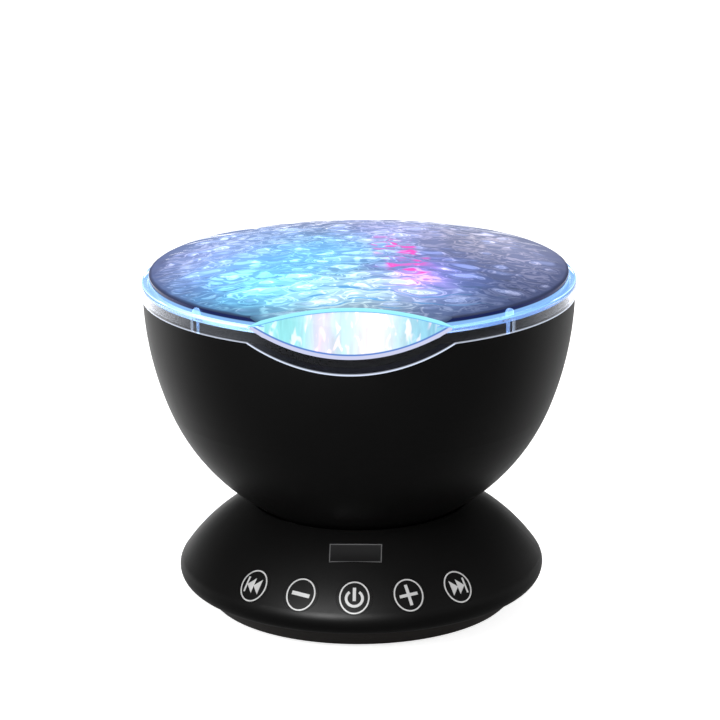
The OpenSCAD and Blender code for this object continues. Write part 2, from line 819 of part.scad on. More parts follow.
module friction_saddle() {
    color([0.15, 0.15, 0.15])
    difference() {
        intersection() {
            translate([0, 0, pivot_z]) sphere(r = saddle_in_r + saddle_t);
            translate([-saddle_w / 2, -saddle_l / 2, 0]) cube([saddle_w, saddle_l, pivot_z]);
        }
        translate([0, 0, pivot_z]) sphere(r = saddle_in_r);
        cylinder(r = post_r + run_gap, h = pivot_z);
    }
}

// Two spring washers back to back, each a shallow cone
module washer_section() {
    inner_r = post_r + free_gap;
    polygon([[inner_r, run_gap], [spring_r, spring_h / 2 - run_gap - spring_t],
        [spring_r, spring_h / 2 - run_gap], [inner_r, run_gap + spring_t]]);
}

module clamp_spring() {
    color("silver")
    translate([0, 0, pivot_z - nut_in_r]) rotate_extrude() {
        washer_section();
        translate([0, spring_h]) mirror([0, 1]) washer_section();
    }
}

module clamp_nut() {
    color("silver")
    translate([0, 0, pivot_z - nut_in_r - nut_h]) difference() {
        cylinder(r = nut_r, h = nut_h, $fn = 6);
        translate([0, 0, -1]) cylinder(r = post_r + run_gap, h = nut_h + 2);
    }
}

module lamp_deck() {
    color([0.9, 0.9, 0.9])
    difference() {
        union() {
            translate([0, 0, deck_z - deck_t]) cylinder(r = deck_r, h = deck_t);
            round_at(LAMP_SCREW_ANGLES, lamp_screw_circle_r) translate([0, 0, deck_z - eps])
                cylinder(r = standoff_r, h = lamp_standoff_h + eps);
        }
        round_at(QUARTER_ANGLES, deck_boss_circle_r) cylinder(r = screw_r + screw_gap, h = far);
        round_at(LAMP_SCREW_ANGLES, lamp_screw_circle_r) translate([0, 0, deck_z - deck_t - 1])
            cylinder(r = small_screw_r + thread_gap, h = far);
        for (side = [-1, 1])
            translate([side * ear_half_x, axle_y, deck_z - deck_t - 1])
                cylinder(r = small_screw_r + thread_gap, h = far);
        cylinder(r = spindle_r + run_gap, h = far);
        translate([0, -lamp_board_r / 2, 0]) cylinder(r = post_bore_r + 1, h = far);
    }
}

module deck_screws() {
    color("silver")
    round_at(QUARTER_ANGLES, deck_boss_circle_r) translate([0, 0, deck_z])
        pan_screw(screw_r, screw_head_r, screw_head_h, deck_t + screw_len - 2);
}

module lamp_board() {
    color([0.92, 0.92, 0.9])
    translate([0, 0, lamp_board_z]) difference() {
        cylinder(r = lamp_board_r, h = board_t);
        translate([0, 0, -1]) cylinder(r = shoulder_r + 0.5, h = board_t + 2);
        round_at(LAMP_SCREW_ANGLES, lamp_screw_circle_r) translate([0, 0, -1])
            cylinder(r = small_screw_r + screw_gap, h = board_t + 2);
    }
}

module lamp_screws() {
    color("silver")
    round_at(LAMP_SCREW_ANGLES, lamp_screw_circle_r) translate([0, 0, lamp_board_top])
        pan_screw(small_screw_r, small_head_r, small_head_h, board_t + lamp_standoff_h);
}

module led() {
    cylinder(r = led_r + 0.4, h = 1);
    cylinder(r = led_r, h = led_h - led_r);
    translate([0, 0, led_h - led_r]) sphere(r = led_r);
}

module led_group(angles, circle_r) {
    translate([0, 0, lamp_board_top]) round_at(angles, circle_r) intersection() {
        led();
        cylinder(r = 2 * led_r, h = 2 * led_h);
    }
}

module white_leds() {
    color("white") led_group([20, 100, 180, 260], led_inner_r);
}

module blue_leds() {
    color([0.4, 0.6, 1]) led_group([0, 90, 180, 270], led_circle_r);
}

module red_leds() {
    color([1, 0.4, 0.6]) led_group([45, 135, 225, 315], led_circle_r);
}

module reflector() {
    color("white")
    rotate_extrude() polygon([[reflector_low_r, lamp_board_top], [reflector_low_r + reflector_t, lamp_board_top],
        [reflector_top_r + reflector_t, reflector_top_z], [reflector_top_r, reflector_top_z]]);
}

module gear_motor() {
    color([0.75, 0.75, 0.76])
    translate([0, axle_y, deck_z]) difference() {
        union() {
            cylinder(r = motor_r, h = motor_h);
            cylinder(r = motor_nose_r, h = motor_h + motor_nose_h);
            translate([-ear_half_x, -ear_w / 2, 0]) cube([2 * ear_half_x, ear_w, ear_t]);
            for (side = [-1, 1]) translate([side * ear_half_x, 0, 0]) cylinder(r = ear_w / 2, h = ear_t);
        }
        translate([0, 0, shaft_seat]) cylinder(r = shaft_r + run_gap, h = far);
        for (side = [-1, 1])
            translate([side * ear_half_x, 0, -1]) cylinder(r = small_screw_r + screw_gap, h = ear_t + 2);
    }
}

module motor_screws() {
    color("silver")
    for (side = [-1, 1])
        translate([side * ear_half_x, axle_y, deck_z + ear_t])
            pan_screw(small_screw_r, small_head_r, small_head_h, ear_t + deck_t);
}

module disc_spindle() {
    color("silver")
    difference() {
        union() {
            translate([0, 0, deck_z - deck_t]) cylinder(r = spindle_r, h = spindle_top_z - deck_z + deck_t);
            translate([0, 0, deck_z]) cylinder(r = shoulder_r, h = shoulder_z - deck_z);
        }
        translate([0, 0, clip_z]) difference() {
            cylinder(r = clip_r, h = clip_t);
            translate([0, 0, -1]) cylinder(r = groove_r, h = clip_t + 2);
        }
    }
}

module spindle_clip() {
    color("silver")
    translate([0, 0, clip_z]) difference() {
        cylinder(r = clip_r, h = clip_t);
        translate([0, 0, -1]) cylinder(r = groove_r + run_gap, h = clip_t + 2);
        translate([-groove_r * 0.7, 0, -1]) cube([groove_r * 1.4, clip_r + 1, clip_t + 2]);
    }
}

// Wave rotor body
module wave_disc() {
    color([0.75, 0.9, 1, 0.4])
    translate([0, 0, disc_z]) difference() {
        cylinder(r = disc_r, h = disc_t);
        translate([0, 0, -1]) cylinder(r = bush_r + run_gap, h = disc_t + 2);
    }
}

// Outline of a gear: each tooth has a straight flank on a large gear, or a rounded one on a small gear
function tooth_half(r, pitch_r, teeth) =
    let (half = 90 / teeth - 180 * 0.06 * gear_m / (PI * pitch_r))
    half - (r - pitch_r) * tan(20) / pitch_r * 180 / PI;

module gear_outline(teeth, pitch_r, phase) {
    radii = [for (k = [0 : 3]) pitch_r + gear_m * (-1.2 + 2.1 * k / 3)];
    polygon([for (t = [0 : teeth - 1], k = [0 : 7])
        let (r = radii[k < 4 ? k : 7 - k], side = k < 4 ? -1 : 1)
        let (a = 360 * t / teeth + phase + side * tooth_half(r, pitch_r, teeth))
        [r * cos(a), r * sin(a)]]);
}

module disc_gear() {
    color([0.95, 0.95, 0.92])
    translate([0, 0, disc_z - gear_h]) linear_extrude(gear_h) difference() {
        gear_outline(disc_teeth, disc_pitch_r, 90);
        circle(r = gear_ring_in_r);
    }
}

module disc_bush() {
    color([0.9, 0.8, 0.5])
    difference() {
        union() {
            translate([0, 0, bush_low_z]) cylinder(r = bush_r, h = bush_top_z - bush_low_z);
            translate([0, 0, bush_low_z]) cylinder(r = bush_r + 2, h = gear_h);
        }
        cylinder(r = spindle_r + run_gap, h = far);
    }
}

// Pinion body
module motor_shaft() {
    low_z = deck_z + shaft_seat + free_gap;
    color("silver")
    translate([0, axle_y, low_z]) cylinder(r = shaft_r, h = pinion_top_z - low_z);
}

module drive_pinion() {
    color([0.95, 0.95, 0.92])
    translate([0, axle_y, pinion_top_z - pinion_h]) linear_extrude(pinion_h) difference() {
        gear_outline(pinion_teeth, pinion_pitch_r, 270 + 180 / pinion_teeth);
        circle(r = shaft_r + 0.02);
    }
}

base_shell();
base_plate();
rubber_feet();
base_screws();
glide_pads();
ir_window();
ir_board();
ir_receiver();
main_board();
board_screws();
control_chips();
capacitors();
power_socket();
audio_jack();
speaker_frame();
speaker_cone();
speaker_magnet();
switch_strip();
tact_switches();
key_cap(0);  // previous_cap
key_cap(1);  // minus_cap
key_cap(2);  // power_cap
key_cap(3);  // plus_cap
key_cap(4);  // next_cap
key_icon(0);  // previous_icon
key_icon(1);  // minus_icon
key_icon(2);  // power_icon
key_icon(3);  // plus_icon
key_icon(4);  // next_icon
key_plunger(0);  // previous_plunger
key_plunger(1);  // minus_plunger
key_plunger(2);  // power_plunger
key_plunger(3);  // plus_plunger
key_plunger(4);  // next_plunger
bowl();
wave_cover();
pivot_post();
friction_saddle();
clamp_spring();
clamp_nut();
lamp_deck();
deck_screws();
lamp_board();
lamp_screws();
white_leds();
blue_leds();
red_leds();
reflector();
gear_motor();
motor_screws();
disc_spindle();
spindle_clip();
wave_disc();
disc_gear();
disc_bush();
motor_shaft();
drive_pinion();
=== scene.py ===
# %% [markdown]
# # An ocean wave projector
# The projector is a black bowl that tilts on a round base. A clear cover with a rippled dome closes the bowl,
# and coloured lamps under it light the ripples, so that they look like moving water.
# The bowl, base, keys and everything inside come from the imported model, which is the fixed frame of this scene.
# This lesson dresses that frame: it models the clear pieces again with real ripples, and gives each surface a finish.

# %% Load the frame
import json
import math

import bpy
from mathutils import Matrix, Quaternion, Vector


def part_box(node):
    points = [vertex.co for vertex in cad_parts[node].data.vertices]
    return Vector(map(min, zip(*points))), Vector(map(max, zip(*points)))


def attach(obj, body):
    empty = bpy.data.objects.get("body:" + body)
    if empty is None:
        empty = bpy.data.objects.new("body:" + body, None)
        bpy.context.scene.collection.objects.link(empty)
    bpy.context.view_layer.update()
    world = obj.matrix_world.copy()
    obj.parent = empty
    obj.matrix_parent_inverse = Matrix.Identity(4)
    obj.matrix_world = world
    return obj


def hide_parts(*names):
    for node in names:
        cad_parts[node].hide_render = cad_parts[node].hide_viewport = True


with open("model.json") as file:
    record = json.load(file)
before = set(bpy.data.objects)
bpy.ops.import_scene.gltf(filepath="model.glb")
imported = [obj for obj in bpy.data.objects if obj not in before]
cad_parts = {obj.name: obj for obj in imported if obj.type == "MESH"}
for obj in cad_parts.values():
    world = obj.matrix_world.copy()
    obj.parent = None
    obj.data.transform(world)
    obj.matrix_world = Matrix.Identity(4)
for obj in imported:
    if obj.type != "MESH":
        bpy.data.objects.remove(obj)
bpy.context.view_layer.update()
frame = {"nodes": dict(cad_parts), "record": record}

nodes = frame["nodes"]
bpy.context.scene.view_settings.view_transform = "Standard"
bpy.ops.object.select_all(action="DESELECT")

# %% [markdown]
# ## The camera
# The photo was taken from the front and a little above, with a long lens. A camera that looks at a point on the
# projector's axis from one metre away gives the same slim ellipses. The picture leans by half a degree, so the
# camera is rolled by as much.

# %% Camera at the photo's viewing angle
camera_turn = math.radians(2.4)
camera_rise = math.radians(16.14)
camera_roll = math.radians(-0.53)
camera_distance = 1.0
camera_target = Vector((0, 0, 0.0834))

towards_camera = Vector((
    math.cos(camera_rise) * math.sin(camera_turn),
    -math.cos(camera_rise) * math.cos(camera_turn),
    math.sin(camera_rise),
))
look = (-towards_camera).to_track_quat("-Z", "Y") @ Quaternion((0, 0, 1), camera_roll)
bpy.ops.object.camera_add(
    location=camera_target + camera_distance * towards_camera,
    rotation=look.to_euler(),
)
camera = bpy.context.object
camera.data.lens = 148.5
camera.data.shift_x = 0.0006
bpy.context.scene.camera = camera
print("camera at", tuple(round(v, 4) for v in camera.location))

# %% [markdown]
# ## Floor, light and background
# The photo has a plain white background. The floor and the world are white where the camera or a clear piece sees
# them, and the lamps stay at a plain level, so that the black plastic stays black. A reflection sees a studio that is
# bright at both sides and on the floor behind, and dim overhead and in front, which gives the black bowl its pale
# edges. The floor is lit as any surface is, so it keeps the projector's soft shadow. A strong lamp in front only adds
# a sheen to the black pieces: the clear ones would mirror it, so it isn't linked to them.

# %% Node helpers
def add(tree, kind, inputs=None, **settings):
    """Adds a node, sets its options, and gives each input a value or a link."""
    made = tree.nodes.new(kind)
    for key, value in settings.items():
        setattr(made, key, value)
    for key, value in (inputs or {}).items():
        if isinstance(value, bpy.types.NodeSocket):
            tree.links.new(value, made.inputs[key])
        else:
            made.inputs[key].default_value = value
    return made


def maths(tree, operation, *values):
    """A Math node's result."""
    return add(tree, "ShaderNodeMath", dict(enumerate(values)), operation=operation).outputs[0]


def negative(tree, value):
    """A value with its sign turned round."""
    return maths(tree, "MULTIPLY", value, -1.0)


def vector_maths(tree, operation, *values, result=0):
    """A Vector Math node's result: output 0 is a vector and output 1 a value."""
    made = add(tree, "ShaderNodeVectorMath", dict(enumerate(values)), operation=operation)
    return made.outputs[result]


def along(tree, vector, direction):
    """How far a vector reaches along a direction."""
    return vector_maths(tree, "DOT_PRODUCT", vector, tuple(direction), result=1)


def axis_distance(tree, place):
    """A place's distance from the upright axis."""
    return vector_maths(tree, "LENGTH", vector_maths(tree, "MULTIPLY", place, (1, 1, 0)), result=1)


def coordinate(tree, vector, axis):
    """One coordinate of a vector."""
    return add(tree, "ShaderNodeSeparateXYZ", {0: vector}).outputs[axis]


def smooth_step(tree, value, low, high):
    """Zero below low, one above high and smooth between."""
    made = add(tree, "ShaderNodeMapRange", {0: value, 1: low, 2: high}, interpolation_type="SMOOTHSTEP")
    return made.outputs[0]


def ramp(tree, value, low, high, first=0.0, last=1.0):
    """First below low, last above high and straight between."""
    return add(tree, "ShaderNodeMapRange", {0: value, 1: low, 2: high, 3: first, 4: last}).outputs[0]


def bell_curve(tree, squared):
    """One where a squared distance is zero, fading to zero around it."""
    return maths(tree, "EXPONENT", negative(tree, squared))


def blend(tree, factor, first, second):
    """A value between two others."""
    return add(tree, "ShaderNodeMix", {0: factor, 2: first, 3: second}).outputs[0]


def mixed_colour(tree, factor, first, second):
    """A blend of two colours."""
    return add(tree, "ShaderNodeMix", {0: factor, 6: first, 7: second}, data_type="RGBA").outputs[2]


def scaled(tree, colour, factor):
    """A colour made brighter or darker by a value."""
    return add(tree, "ShaderNodeVectorMath", {0: colour, "Scale": factor}, operation="SCALE").outputs[0]


def summed(tree, first, second):
    """Two colours or vectors added up."""
    return vector_maths(tree, "ADD", first, second)


def noise(tree, place, **inputs):
    """A Noise texture's value at a place."""
    return add(tree, "ShaderNodeTexNoise", {"Vector": place, "Scale": 1.0, **inputs}).outputs[0]


def new_material(name):
    """A material with a plain Principled shader, its node tree and the object's own coordinates."""
    material = bpy.data.materials.new(name)
    material.use_nodes = True
    tree = material.node_tree
    return material, tree, tree.nodes["Principled BSDF"], add(tree, "ShaderNodeTexCoord").outputs


def set_sockets(shader, **values):
    """Sets plain values on a shader's sockets; an underscore stands for a space."""
    for key, value in values.items():
        shader.inputs[key.replace("_", " ")].default_value = value


def light_path(tree, question):
    """What a Light Path node says of the ray."""
    return add(tree, "ShaderNodeLightPath").outputs[question]


def seen_directly(tree):
    """One where the camera looks, by itself or through a clear piece."""
    return maths(tree, "MAXIMUM", light_path(tree, "Is Camera Ray"), light_path(tree, "Is Transmission Ray"))


# %% World
world_light = 0.45
mirrored_left = 0.5
mirrored_right = 0.9
mirrored_all_round = 0.12
world = bpy.context.scene.world or bpy.data.worlds.new("studio")
bpy.context.scene.world = world
world.use_nodes = True
tree = world.node_tree
sky = tree.nodes["Background"]
sky.inputs["Color"].default_value = (1, 1, 1, 1)
ray = add(tree, "ShaderNodeTexCoord").outputs["Generated"]
to_right = coordinate(tree, ray, "X")
left_side = maths(tree, "MULTIPLY", smooth_step(tree, negative(tree, to_right), 0.2, 0.7), mirrored_left)
right_side = maths(tree, "MULTIPLY", smooth_step(tree, to_right, 0.35, 0.85), mirrored_right)
overhead = smooth_step(tree, coordinate(tree, ray, "Z"), 0.12, 0.45)
sides = maths(tree, "ADD", left_side, right_side)
sides = maths(tree, "MULTIPLY", sides, maths(tree, "SUBTRACT", 1.0, overhead))
mirrored = maths(tree, "ADD", sides, mirrored_all_round)
unseen = blend(tree, light_path(tree, "Is Glossy Ray"), world_light, mirrored)
tree.links.new(blend(tree, seen_directly(tree), unseen, 1.0), sky.inputs["Strength"])

# %% Floor
floor_tone = 0.9
mirrored_front_tone = 0.3
floor_seen = 0.8
mirrored_back = 0.45
mirrored_back_left = 0.9
bpy.ops.mesh.primitive_plane_add(size=8)
floor = bpy.context.object
floor.name = "floor"
floor_white, tree, shader, place = new_material("floor_white")
set_sockets(shader, Roughness=1, Specular_IOR_Level=0, Emission_Color=(1, 1, 1, 1))
behind = smooth_step(tree, coordinate(tree, place["Object"], "Y"), -0.1, 0.15)
is_mirrored = light_path(tree, "Is Glossy Ray")
front_shade = maths(tree, "MULTIPLY", is_mirrored, maths(tree, "SUBTRACT", 1.0, behind))
tree.links.new(blend(tree, front_shade, floor_tone, mirrored_front_tone), shader.inputs["Base Color"])
to_left = smooth_step(tree, negative(tree, coordinate(tree, place["Object"], "X")), -0.12, 0.12)
back_light = maths(tree, "MULTIPLY_ADD", to_left, mirrored_back_left, mirrored_back)
back_light = maths(tree, "MULTIPLY", is_mirrored, maths(tree, "MULTIPLY", back_light, behind))
floor_light = maths(tree, "MULTIPLY_ADD", seen_directly(tree), floor_seen, back_light)
tree.links.new(floor_light, shader.inputs["Emission Strength"])
floor.data.materials.append(floor_white)


# %% Lamps
def soft_box(name, place, aim, size, power):
    """A square lamp that points at a spot."""
    bpy.ops.object.light_add(type="AREA", location=place)
    lamp = bpy.context.object
    lamp.name = name
    lamp.rotation_euler = (Vector(aim) - Vector(place)).to_track_quat("-Z", "Y").to_euler()
    lamp.data.size = size
    lamp.data.energy = power
    return lamp


head_middle = (0, 0, 0.07)
base_front = (-0.01, -0.06, 0.02)
soft_box("key_left", (-0.75, -0.75, 0.75), head_middle, size=0.5, power=6)
soft_box("fill_right", (0.95, -0.35, 0.6), head_middle, size=0.6, power=2)
soft_box("top", (0.1, 0.3, 1.2), head_middle, size=0.8, power=5)
front = soft_box("front", (-0.45, -1.3, 0.75), base_front, size=0.6, power=120)
front.visible_diffuse = False
front_lit = bpy.data.collections.new("front_lit")
for node in nodes.values():
    front_lit.objects.link(node)
front.light_linking.receiver_collection = front_lit

# %% [markdown]
# ## Spun shapes
# The cover and the disc are round, so a half section is drawn as a chain of points and spun about the upright
# axis. The chain starts from one vertex of a plane and is extruded point by point, as by hand.

# %% Drawing and spinning a half section
def make_active(*pieces):
    """Leaves only these pieces selected, with the first one active."""
    bpy.ops.object.select_all(action="DESELECT")
    for piece in pieces:
        piece.select_set(True)
    bpy.context.view_layer.objects.active = pieces[0]


def start_edit(piece):
    """Leaves only this piece selected, and opens it in edit mode."""
    make_active(piece)
    bpy.ops.object.mode_set(mode="EDIT")


def face_out(inward=False):
    """Turns all faces of the piece in edit mode outwards, or inwards, and leaves edit mode."""
    bpy.ops.mesh.select_all(action="SELECT")
    bpy.ops.mesh.normals_make_consistent(inside=inward)
    bpy.ops.object.mode_set(mode="OBJECT")


def chain(name, points):
    """A new piece, left in edit mode, whose one vertex is extruded from point to point."""
    bpy.ops.object.select_all(action="DESELECT")
    bpy.ops.mesh.primitive_plane_add(size=0.001)
    piece = bpy.context.object
    piece.name = name
    bpy.ops.object.mode_set(mode="EDIT")
    bpy.ops.mesh.select_mode(type="VERT")
    bpy.ops.mesh.select_all(action="SELECT")
    bpy.ops.mesh.merge(type="CENTER")
    bpy.ops.transform.translate(value=points[0])
    for here, there in zip(points, points[1:]):
        bpy.ops.mesh.extrude_vertices_move(TRANSFORM_OT_translate={"value": there - here})
    return piece


def weld():
    """Merges the points that lie on one another, in the piece in edit mode."""
    bpy.ops.mesh.select_all(action="SELECT")
    bpy.ops.mesh.remove_doubles(threshold=1e-6)


def spun(name, section, steps):
    """A half section of (radius, height) points, spun all the way round."""
    piece = chain(name, [Vector((r, 0, z)) for r, z in section])
    bpy.ops.mesh.select_all(action="SELECT")
    bpy.ops.mesh.spin(steps=steps, angle=2 * math.pi, center=(0, 0, 0), axis=(0, 0, 1))
    weld()
    face_out()
    return piece


def arc(centre, radius, first, last, count):
    """Points on an arc of a half section, from one angle to another in degrees."""
    turns = [math.radians(first + (last - first) * k / count) for k in range(count + 1)]
    return [(centre[0] + radius * math.cos(a), centre[1] + radius * math.sin(a)) for a in turns]


# %% [markdown]
# ## The clear cover
# The real cover is one clear moulding: a skirt that sits on the bowl's edge, a flat ring, a step and a shallow
# dome whose top is rippled like water. In front the ring dips to a lip, and a flat window, the eye, leans back from
# it. The outside and the inside are spun, cut by the eye's plane and joined at the bottom, and a block that follows
# the bowl's edge is then taken away from below.

# %% Sizes of the cover
_, cover_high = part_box("wave_cover")
rim_r = cover_high.x
dome_top = cover_high.z
dome_rise = 0.007
step_h = 0.0026
skirt_h = 0.0054
ring_w = 0.0025
cover_wall = 0.002
lip_drop = 0.0084
lip_half_w = 0.033
edge_round = 0.0008
edge_fillet = 0.0005
seat_gap = 0.00006
spare_skirt = 0.003
cover_steps = 400
ring_z = dome_top - dome_rise - step_h
bowl_edge_z = ring_z - skirt_h
dome_edge_r = rim_r - ring_w
dome_r = (dome_edge_r ** 2 + dome_rise ** 2) / (2 * dome_rise)
dome_c = dome_top - dome_r
eye_run = rim_r - math.sqrt(rim_r ** 2 - lip_half_w ** 2)
eye_angle = math.atan2(lip_drop, eye_run)
eye_normal = Vector((0, -math.sin(eye_angle), math.cos(eye_angle)))
lip_point = Vector((0, -rim_r, ring_z - lip_drop))
skirt_low = bowl_edge_z + seat_gap
skirt_point = Vector((0, -rim_r, skirt_low - lip_drop))
section_low = bowl_edge_z - lip_drop - spare_skirt
print("ring at", round(ring_z, 4), "eye leans", round(math.degrees(eye_angle), 1), "degrees")


def dome_height(r, inset=0.0):
    """Height of the dome's smooth form at a radius."""
    return dome_c + math.sqrt((dome_r - inset) ** 2 - r ** 2)


def cut_by_eye(piece, point):
    """Cuts off what lies past the eye's plane through a point, closes the cut and stays in edit mode."""
    start_edit(piece)
    bpy.ops.mesh.select_all(action="SELECT")
    bpy.ops.mesh.bisect(plane_co=point, plane_no=eye_normal, use_fill=True, clear_outer=True)


# %% Outside of the cover, cut by the eye's plane
dome_rings = 96
dome_share = 0.993
dome_radii = [dome_edge_r * k / dome_rings * dome_share for k in range(dome_rings + 1)]
outer_section = [(r, dome_height(r)) for r in dome_radii]
outer_section += arc((dome_edge_r - edge_fillet, dome_height(dome_edge_r) - edge_fillet), edge_fillet, 75, 0, 4)
outer_section += [(dome_edge_r, ring_z + step_h * 0.5), (dome_edge_r, ring_z)]
outer_section += arc((rim_r - edge_round, ring_z - edge_round), edge_round, 90, 0, 6)
outer_section += [(rim_r, ring_z - skirt_h / 2), (rim_r, section_low)]
cover = spun("clear_cover", outer_section, cover_steps)
cut_by_eye(cover, lip_point)
bpy.ops.object.mode_set(mode="OBJECT")
print("cover outside:", len(cover.data.polygons), "faces")

# %% Ripples in the dome
ripple_h = 0.001
ripple_size = 0.0048
ripple_stretch = (1.8, 1.0, 1.0)
swell_share = 0.85
chop_size = 0.45
dome_start_z = ring_z + step_h * 0.8
rim_fade = 0.004
rear_fade = 0.014
eye_fade = 0.003


def near_dome_edge(point):
    """How strongly a point of the dome is rippled: all over its top, and fading out at its edges."""
    r = math.hypot(point.x, point.y)
    if point.z < dome_start_z or r > dome_edge_r:
        return 0.0
    from_rim = (dome_edge_r - r) / (rim_fade + rear_fade * max(0.0, point.y / dome_edge_r))
    from_eye = (lip_point - point).dot(eye_normal) / eye_fade
    return max(0.0, min(1.0, from_rim, from_eye))


def rippled(piece, weight_of, height, size, stretch):
    """Pushes a piece's faces in and out by a cloudy pattern, where weight_of says so."""
    group = piece.vertex_groups.new(name="rippled")
    for vertex in piece.data.vertices:
        weight = weight_of(vertex.co)
        if weight > 0:
            group.add([vertex.index], weight, "REPLACE")
    bpy.ops.object.empty_add(location=(0, 0, dome_top))
    placing = bpy.context.object
    placing.scale = stretch
    bpy.context.view_layer.update()
    for name, scale, share in (("swell", size, swell_share), ("chop", size * chop_size, 1 - swell_share)):
        pattern = bpy.data.textures.new(f"{piece.name}_{name}", "CLOUDS")
        pattern.noise_scale = scale
        pattern.noise_depth = 0
        pattern.noise_basis = "IMPROVED_PERLIN"
        ripple = piece.modifiers.new(name, "DISPLACE")
        ripple.texture = pattern
        ripple.texture_coords = "OBJECT"
        ripple.texture_coords_object = placing
        ripple.vertex_group = group.name
        ripple.strength = 2 * height * share
        ripple.mid_level = 0.5
    make_active(piece)
    for ripple in list(piece.modifiers):
        bpy.ops.object.modifier_apply(modifier=ripple.name)
    piece.vertex_groups.clear()
    bpy.data.objects.remove(placing)


rippled(cover, near_dome_edge, ripple_h, ripple_size, ripple_stretch)
print("dome top after the ripples:", round(max(v.co.z for v in cover.data.vertices), 5))

# %% Inside of the cover
inner_edge_r = dome_edge_r - cover_wall
inner_rings = 24
inner_radii = [inner_edge_r * k / inner_rings for k in range(inner_rings + 1)]
inner_section = [(r, dome_height(r, cover_wall)) for r in inner_radii]
inner_section += [(inner_edge_r, ring_z - cover_wall), (rim_r - cover_wall, ring_z - cover_wall)]
inner_section += [(rim_r - cover_wall, section_low)]
inside = spun("cover_inside", inner_section, cover_steps)
cut_by_eye(inside, lip_point - Vector((0, 0, cover_wall / math.cos(eye_angle))))
face_out(inward=True)
print("cover inside:", len(inside.data.polygons), "faces")

# %% Joining the two at the bottom
make_active(cover, inside)
bpy.ops.object.join()
start_edit(cover)
bpy.ops.mesh.select_mode(type="EDGE")
bpy.ops.mesh.select_all(action="DESELECT")
bpy.ops.mesh.select_non_manifold(use_wire=False, use_multi_face=False, use_non_contiguous=False, use_verts=False)
bpy.ops.mesh.bridge_edge_loops()
bpy.ops.object.mode_set(mode="OBJECT")

# %% Cutting the bottom to the bowl's edge
dip_y = skirt_point.y + lip_drop / math.tan(eye_angle)
far = 0.1
far_dip_z = skirt_low - (dip_y + far) * math.tan(eye_angle)
edge_line = [(-far, 0), (-far, far_dip_z), (dip_y, skirt_low), (far, skirt_low), (far, 0)]
cutter = chain("edge_cutter", [Vector((-far, y, z)) for y, z in edge_line])
bpy.ops.mesh.select_all(action="SELECT")
bpy.ops.mesh.edge_face_add()
bpy.ops.mesh.extrude_region_move(TRANSFORM_OT_translate={"value": (2 * far, 0, 0)})
face_out()
make_active(cover)
bpy.ops.object.modifier_add(type="BOOLEAN")
cut = cover.modifiers[-1]
cut.operation = "DIFFERENCE"
cut.solver = "EXACT"
cut.object = cutter
bpy.ops.object.modifier_apply(modifier=cut.name)
bpy.data.objects.remove(cutter)
print("clear cover:", len(cover.data.polygons), "faces, lowest", round(min(v.co.z for v in cover.data.vertices), 4))

# %% [markdown]
# ## The wave disc
# Under the cover a clear disc turns slowly on a spindle. Its top is rippled too, and two rippled pieces passing each
# other are what makes the water move. The disc is spun as a closed ring round its brass bush.

# %% Disc with a rippled top
disc_low, disc_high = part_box("wave_disc")
disc_r = disc_high.x
bush_gap_r = 0.00505
bush_clear_r = 0.0075
disc_edge = 0.0004
disc_fade = 0.003
disc_ripple_h = 0.0007
disc_ripple_size = 0.006
disc_rings = 60
disc_steps = 240
top_r = disc_r - disc_edge
disc_section = [(bush_gap_r, disc_high.z), (bush_gap_r, disc_low.z), (top_r, disc_low.z)]
disc_section += [(disc_r, disc_low.z + disc_edge), (disc_r, disc_high.z - disc_edge)]
disc_section += [(top_r - (top_r - bush_gap_r) * k / disc_rings, disc_high.z) for k in range(disc_rings + 1)]
disc = spun("rippled_disc", disc_section, disc_steps)


def on_disc_top(point):
    """Ripples cover the disc's top and fade out at its rim and at the bush."""
    r = math.hypot(point.x, point.y)
    if point.z < disc_high.z - 1e-5:
        return 0.0
    return max(0.0, min(1.0, (disc_r - r) / disc_fade, (r - bush_clear_r) / disc_fade))


rippled(disc, on_disc_top, disc_ripple_h, disc_ripple_size, (1.0, 1.0, 1.0))
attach(disc, "wave_rotor")
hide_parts("wave_disc")
print("disc:", len(disc.data.polygons), "faces")

# %% [markdown]
# ## Finishes that several pieces share
# Moulded plastic is never one flat colour: its tone drifts a little, its gloss is patchy and its skin has a fine
# grain. One node group holds that, and each plastic uses it with its own values. Bare metal has fine lines instead.

# %% Groups for moulded plastic and bare metal
COLOUR, VALUE, VECTOR = "NodeSocketColor", "NodeSocketFloat", "NodeSocketVector"
SKIN = [("Colour", COLOUR), ("Roughness", VALUE), ("Height", VALUE)]


def new_group(name, inputs, outputs):
    """An empty node group with named sockets, and its input and output nodes."""
    group = bpy.data.node_groups.new(name, "ShaderNodeTree")
    for label, kind, value in inputs:
        group.interface.new_socket(label, in_out="INPUT", socket_type=kind).default_value = value
    for label, kind in outputs:
        group.interface.new_socket(label, in_out="OUTPUT", socket_type=kind)
    return group, group.nodes.new("NodeGroupInput").outputs, group.nodes.new("NodeGroupOutput").inputs


moulded_grain, given, result = new_group("moulded_grain", [
    ("Place", VECTOR, (0, 0, 0)), ("Tone", COLOUR, (0.5, 0.5, 0.5, 1)), ("Tone drift", VALUE, 0.1),
    ("Gloss", VALUE, 0.5), ("Gloss drift", VALUE, 0.08), ("Grain", VALUE, 1500.0),
], SKIN)
tree = moulded_grain
grain = noise(tree, given["Place"], Scale=given["Grain"], Detail=2.0)
cloud = maths(tree, "MULTIPLY_ADD", noise(tree, given["Place"], Scale=28.0, Detail=3.0), 2.0, -1.0)
fine = maths(tree, "MULTIPLY_ADD", grain, 1.2, -0.6)
patchy = maths(tree, "ADD", maths(tree, "MULTIPLY", cloud, 0.6), fine)
tone_factor = maths(tree, "MULTIPLY_ADD", cloud, given["Tone drift"], 1.0)
tree.links.new(scaled(tree, given["Tone"], tone_factor), result["Colour"])
tree.links.new(maths(tree, "MULTIPLY_ADD", patchy, given["Gloss drift"], given["Gloss"]), result["Roughness"])
tree.links.new(grain, result["Height"])

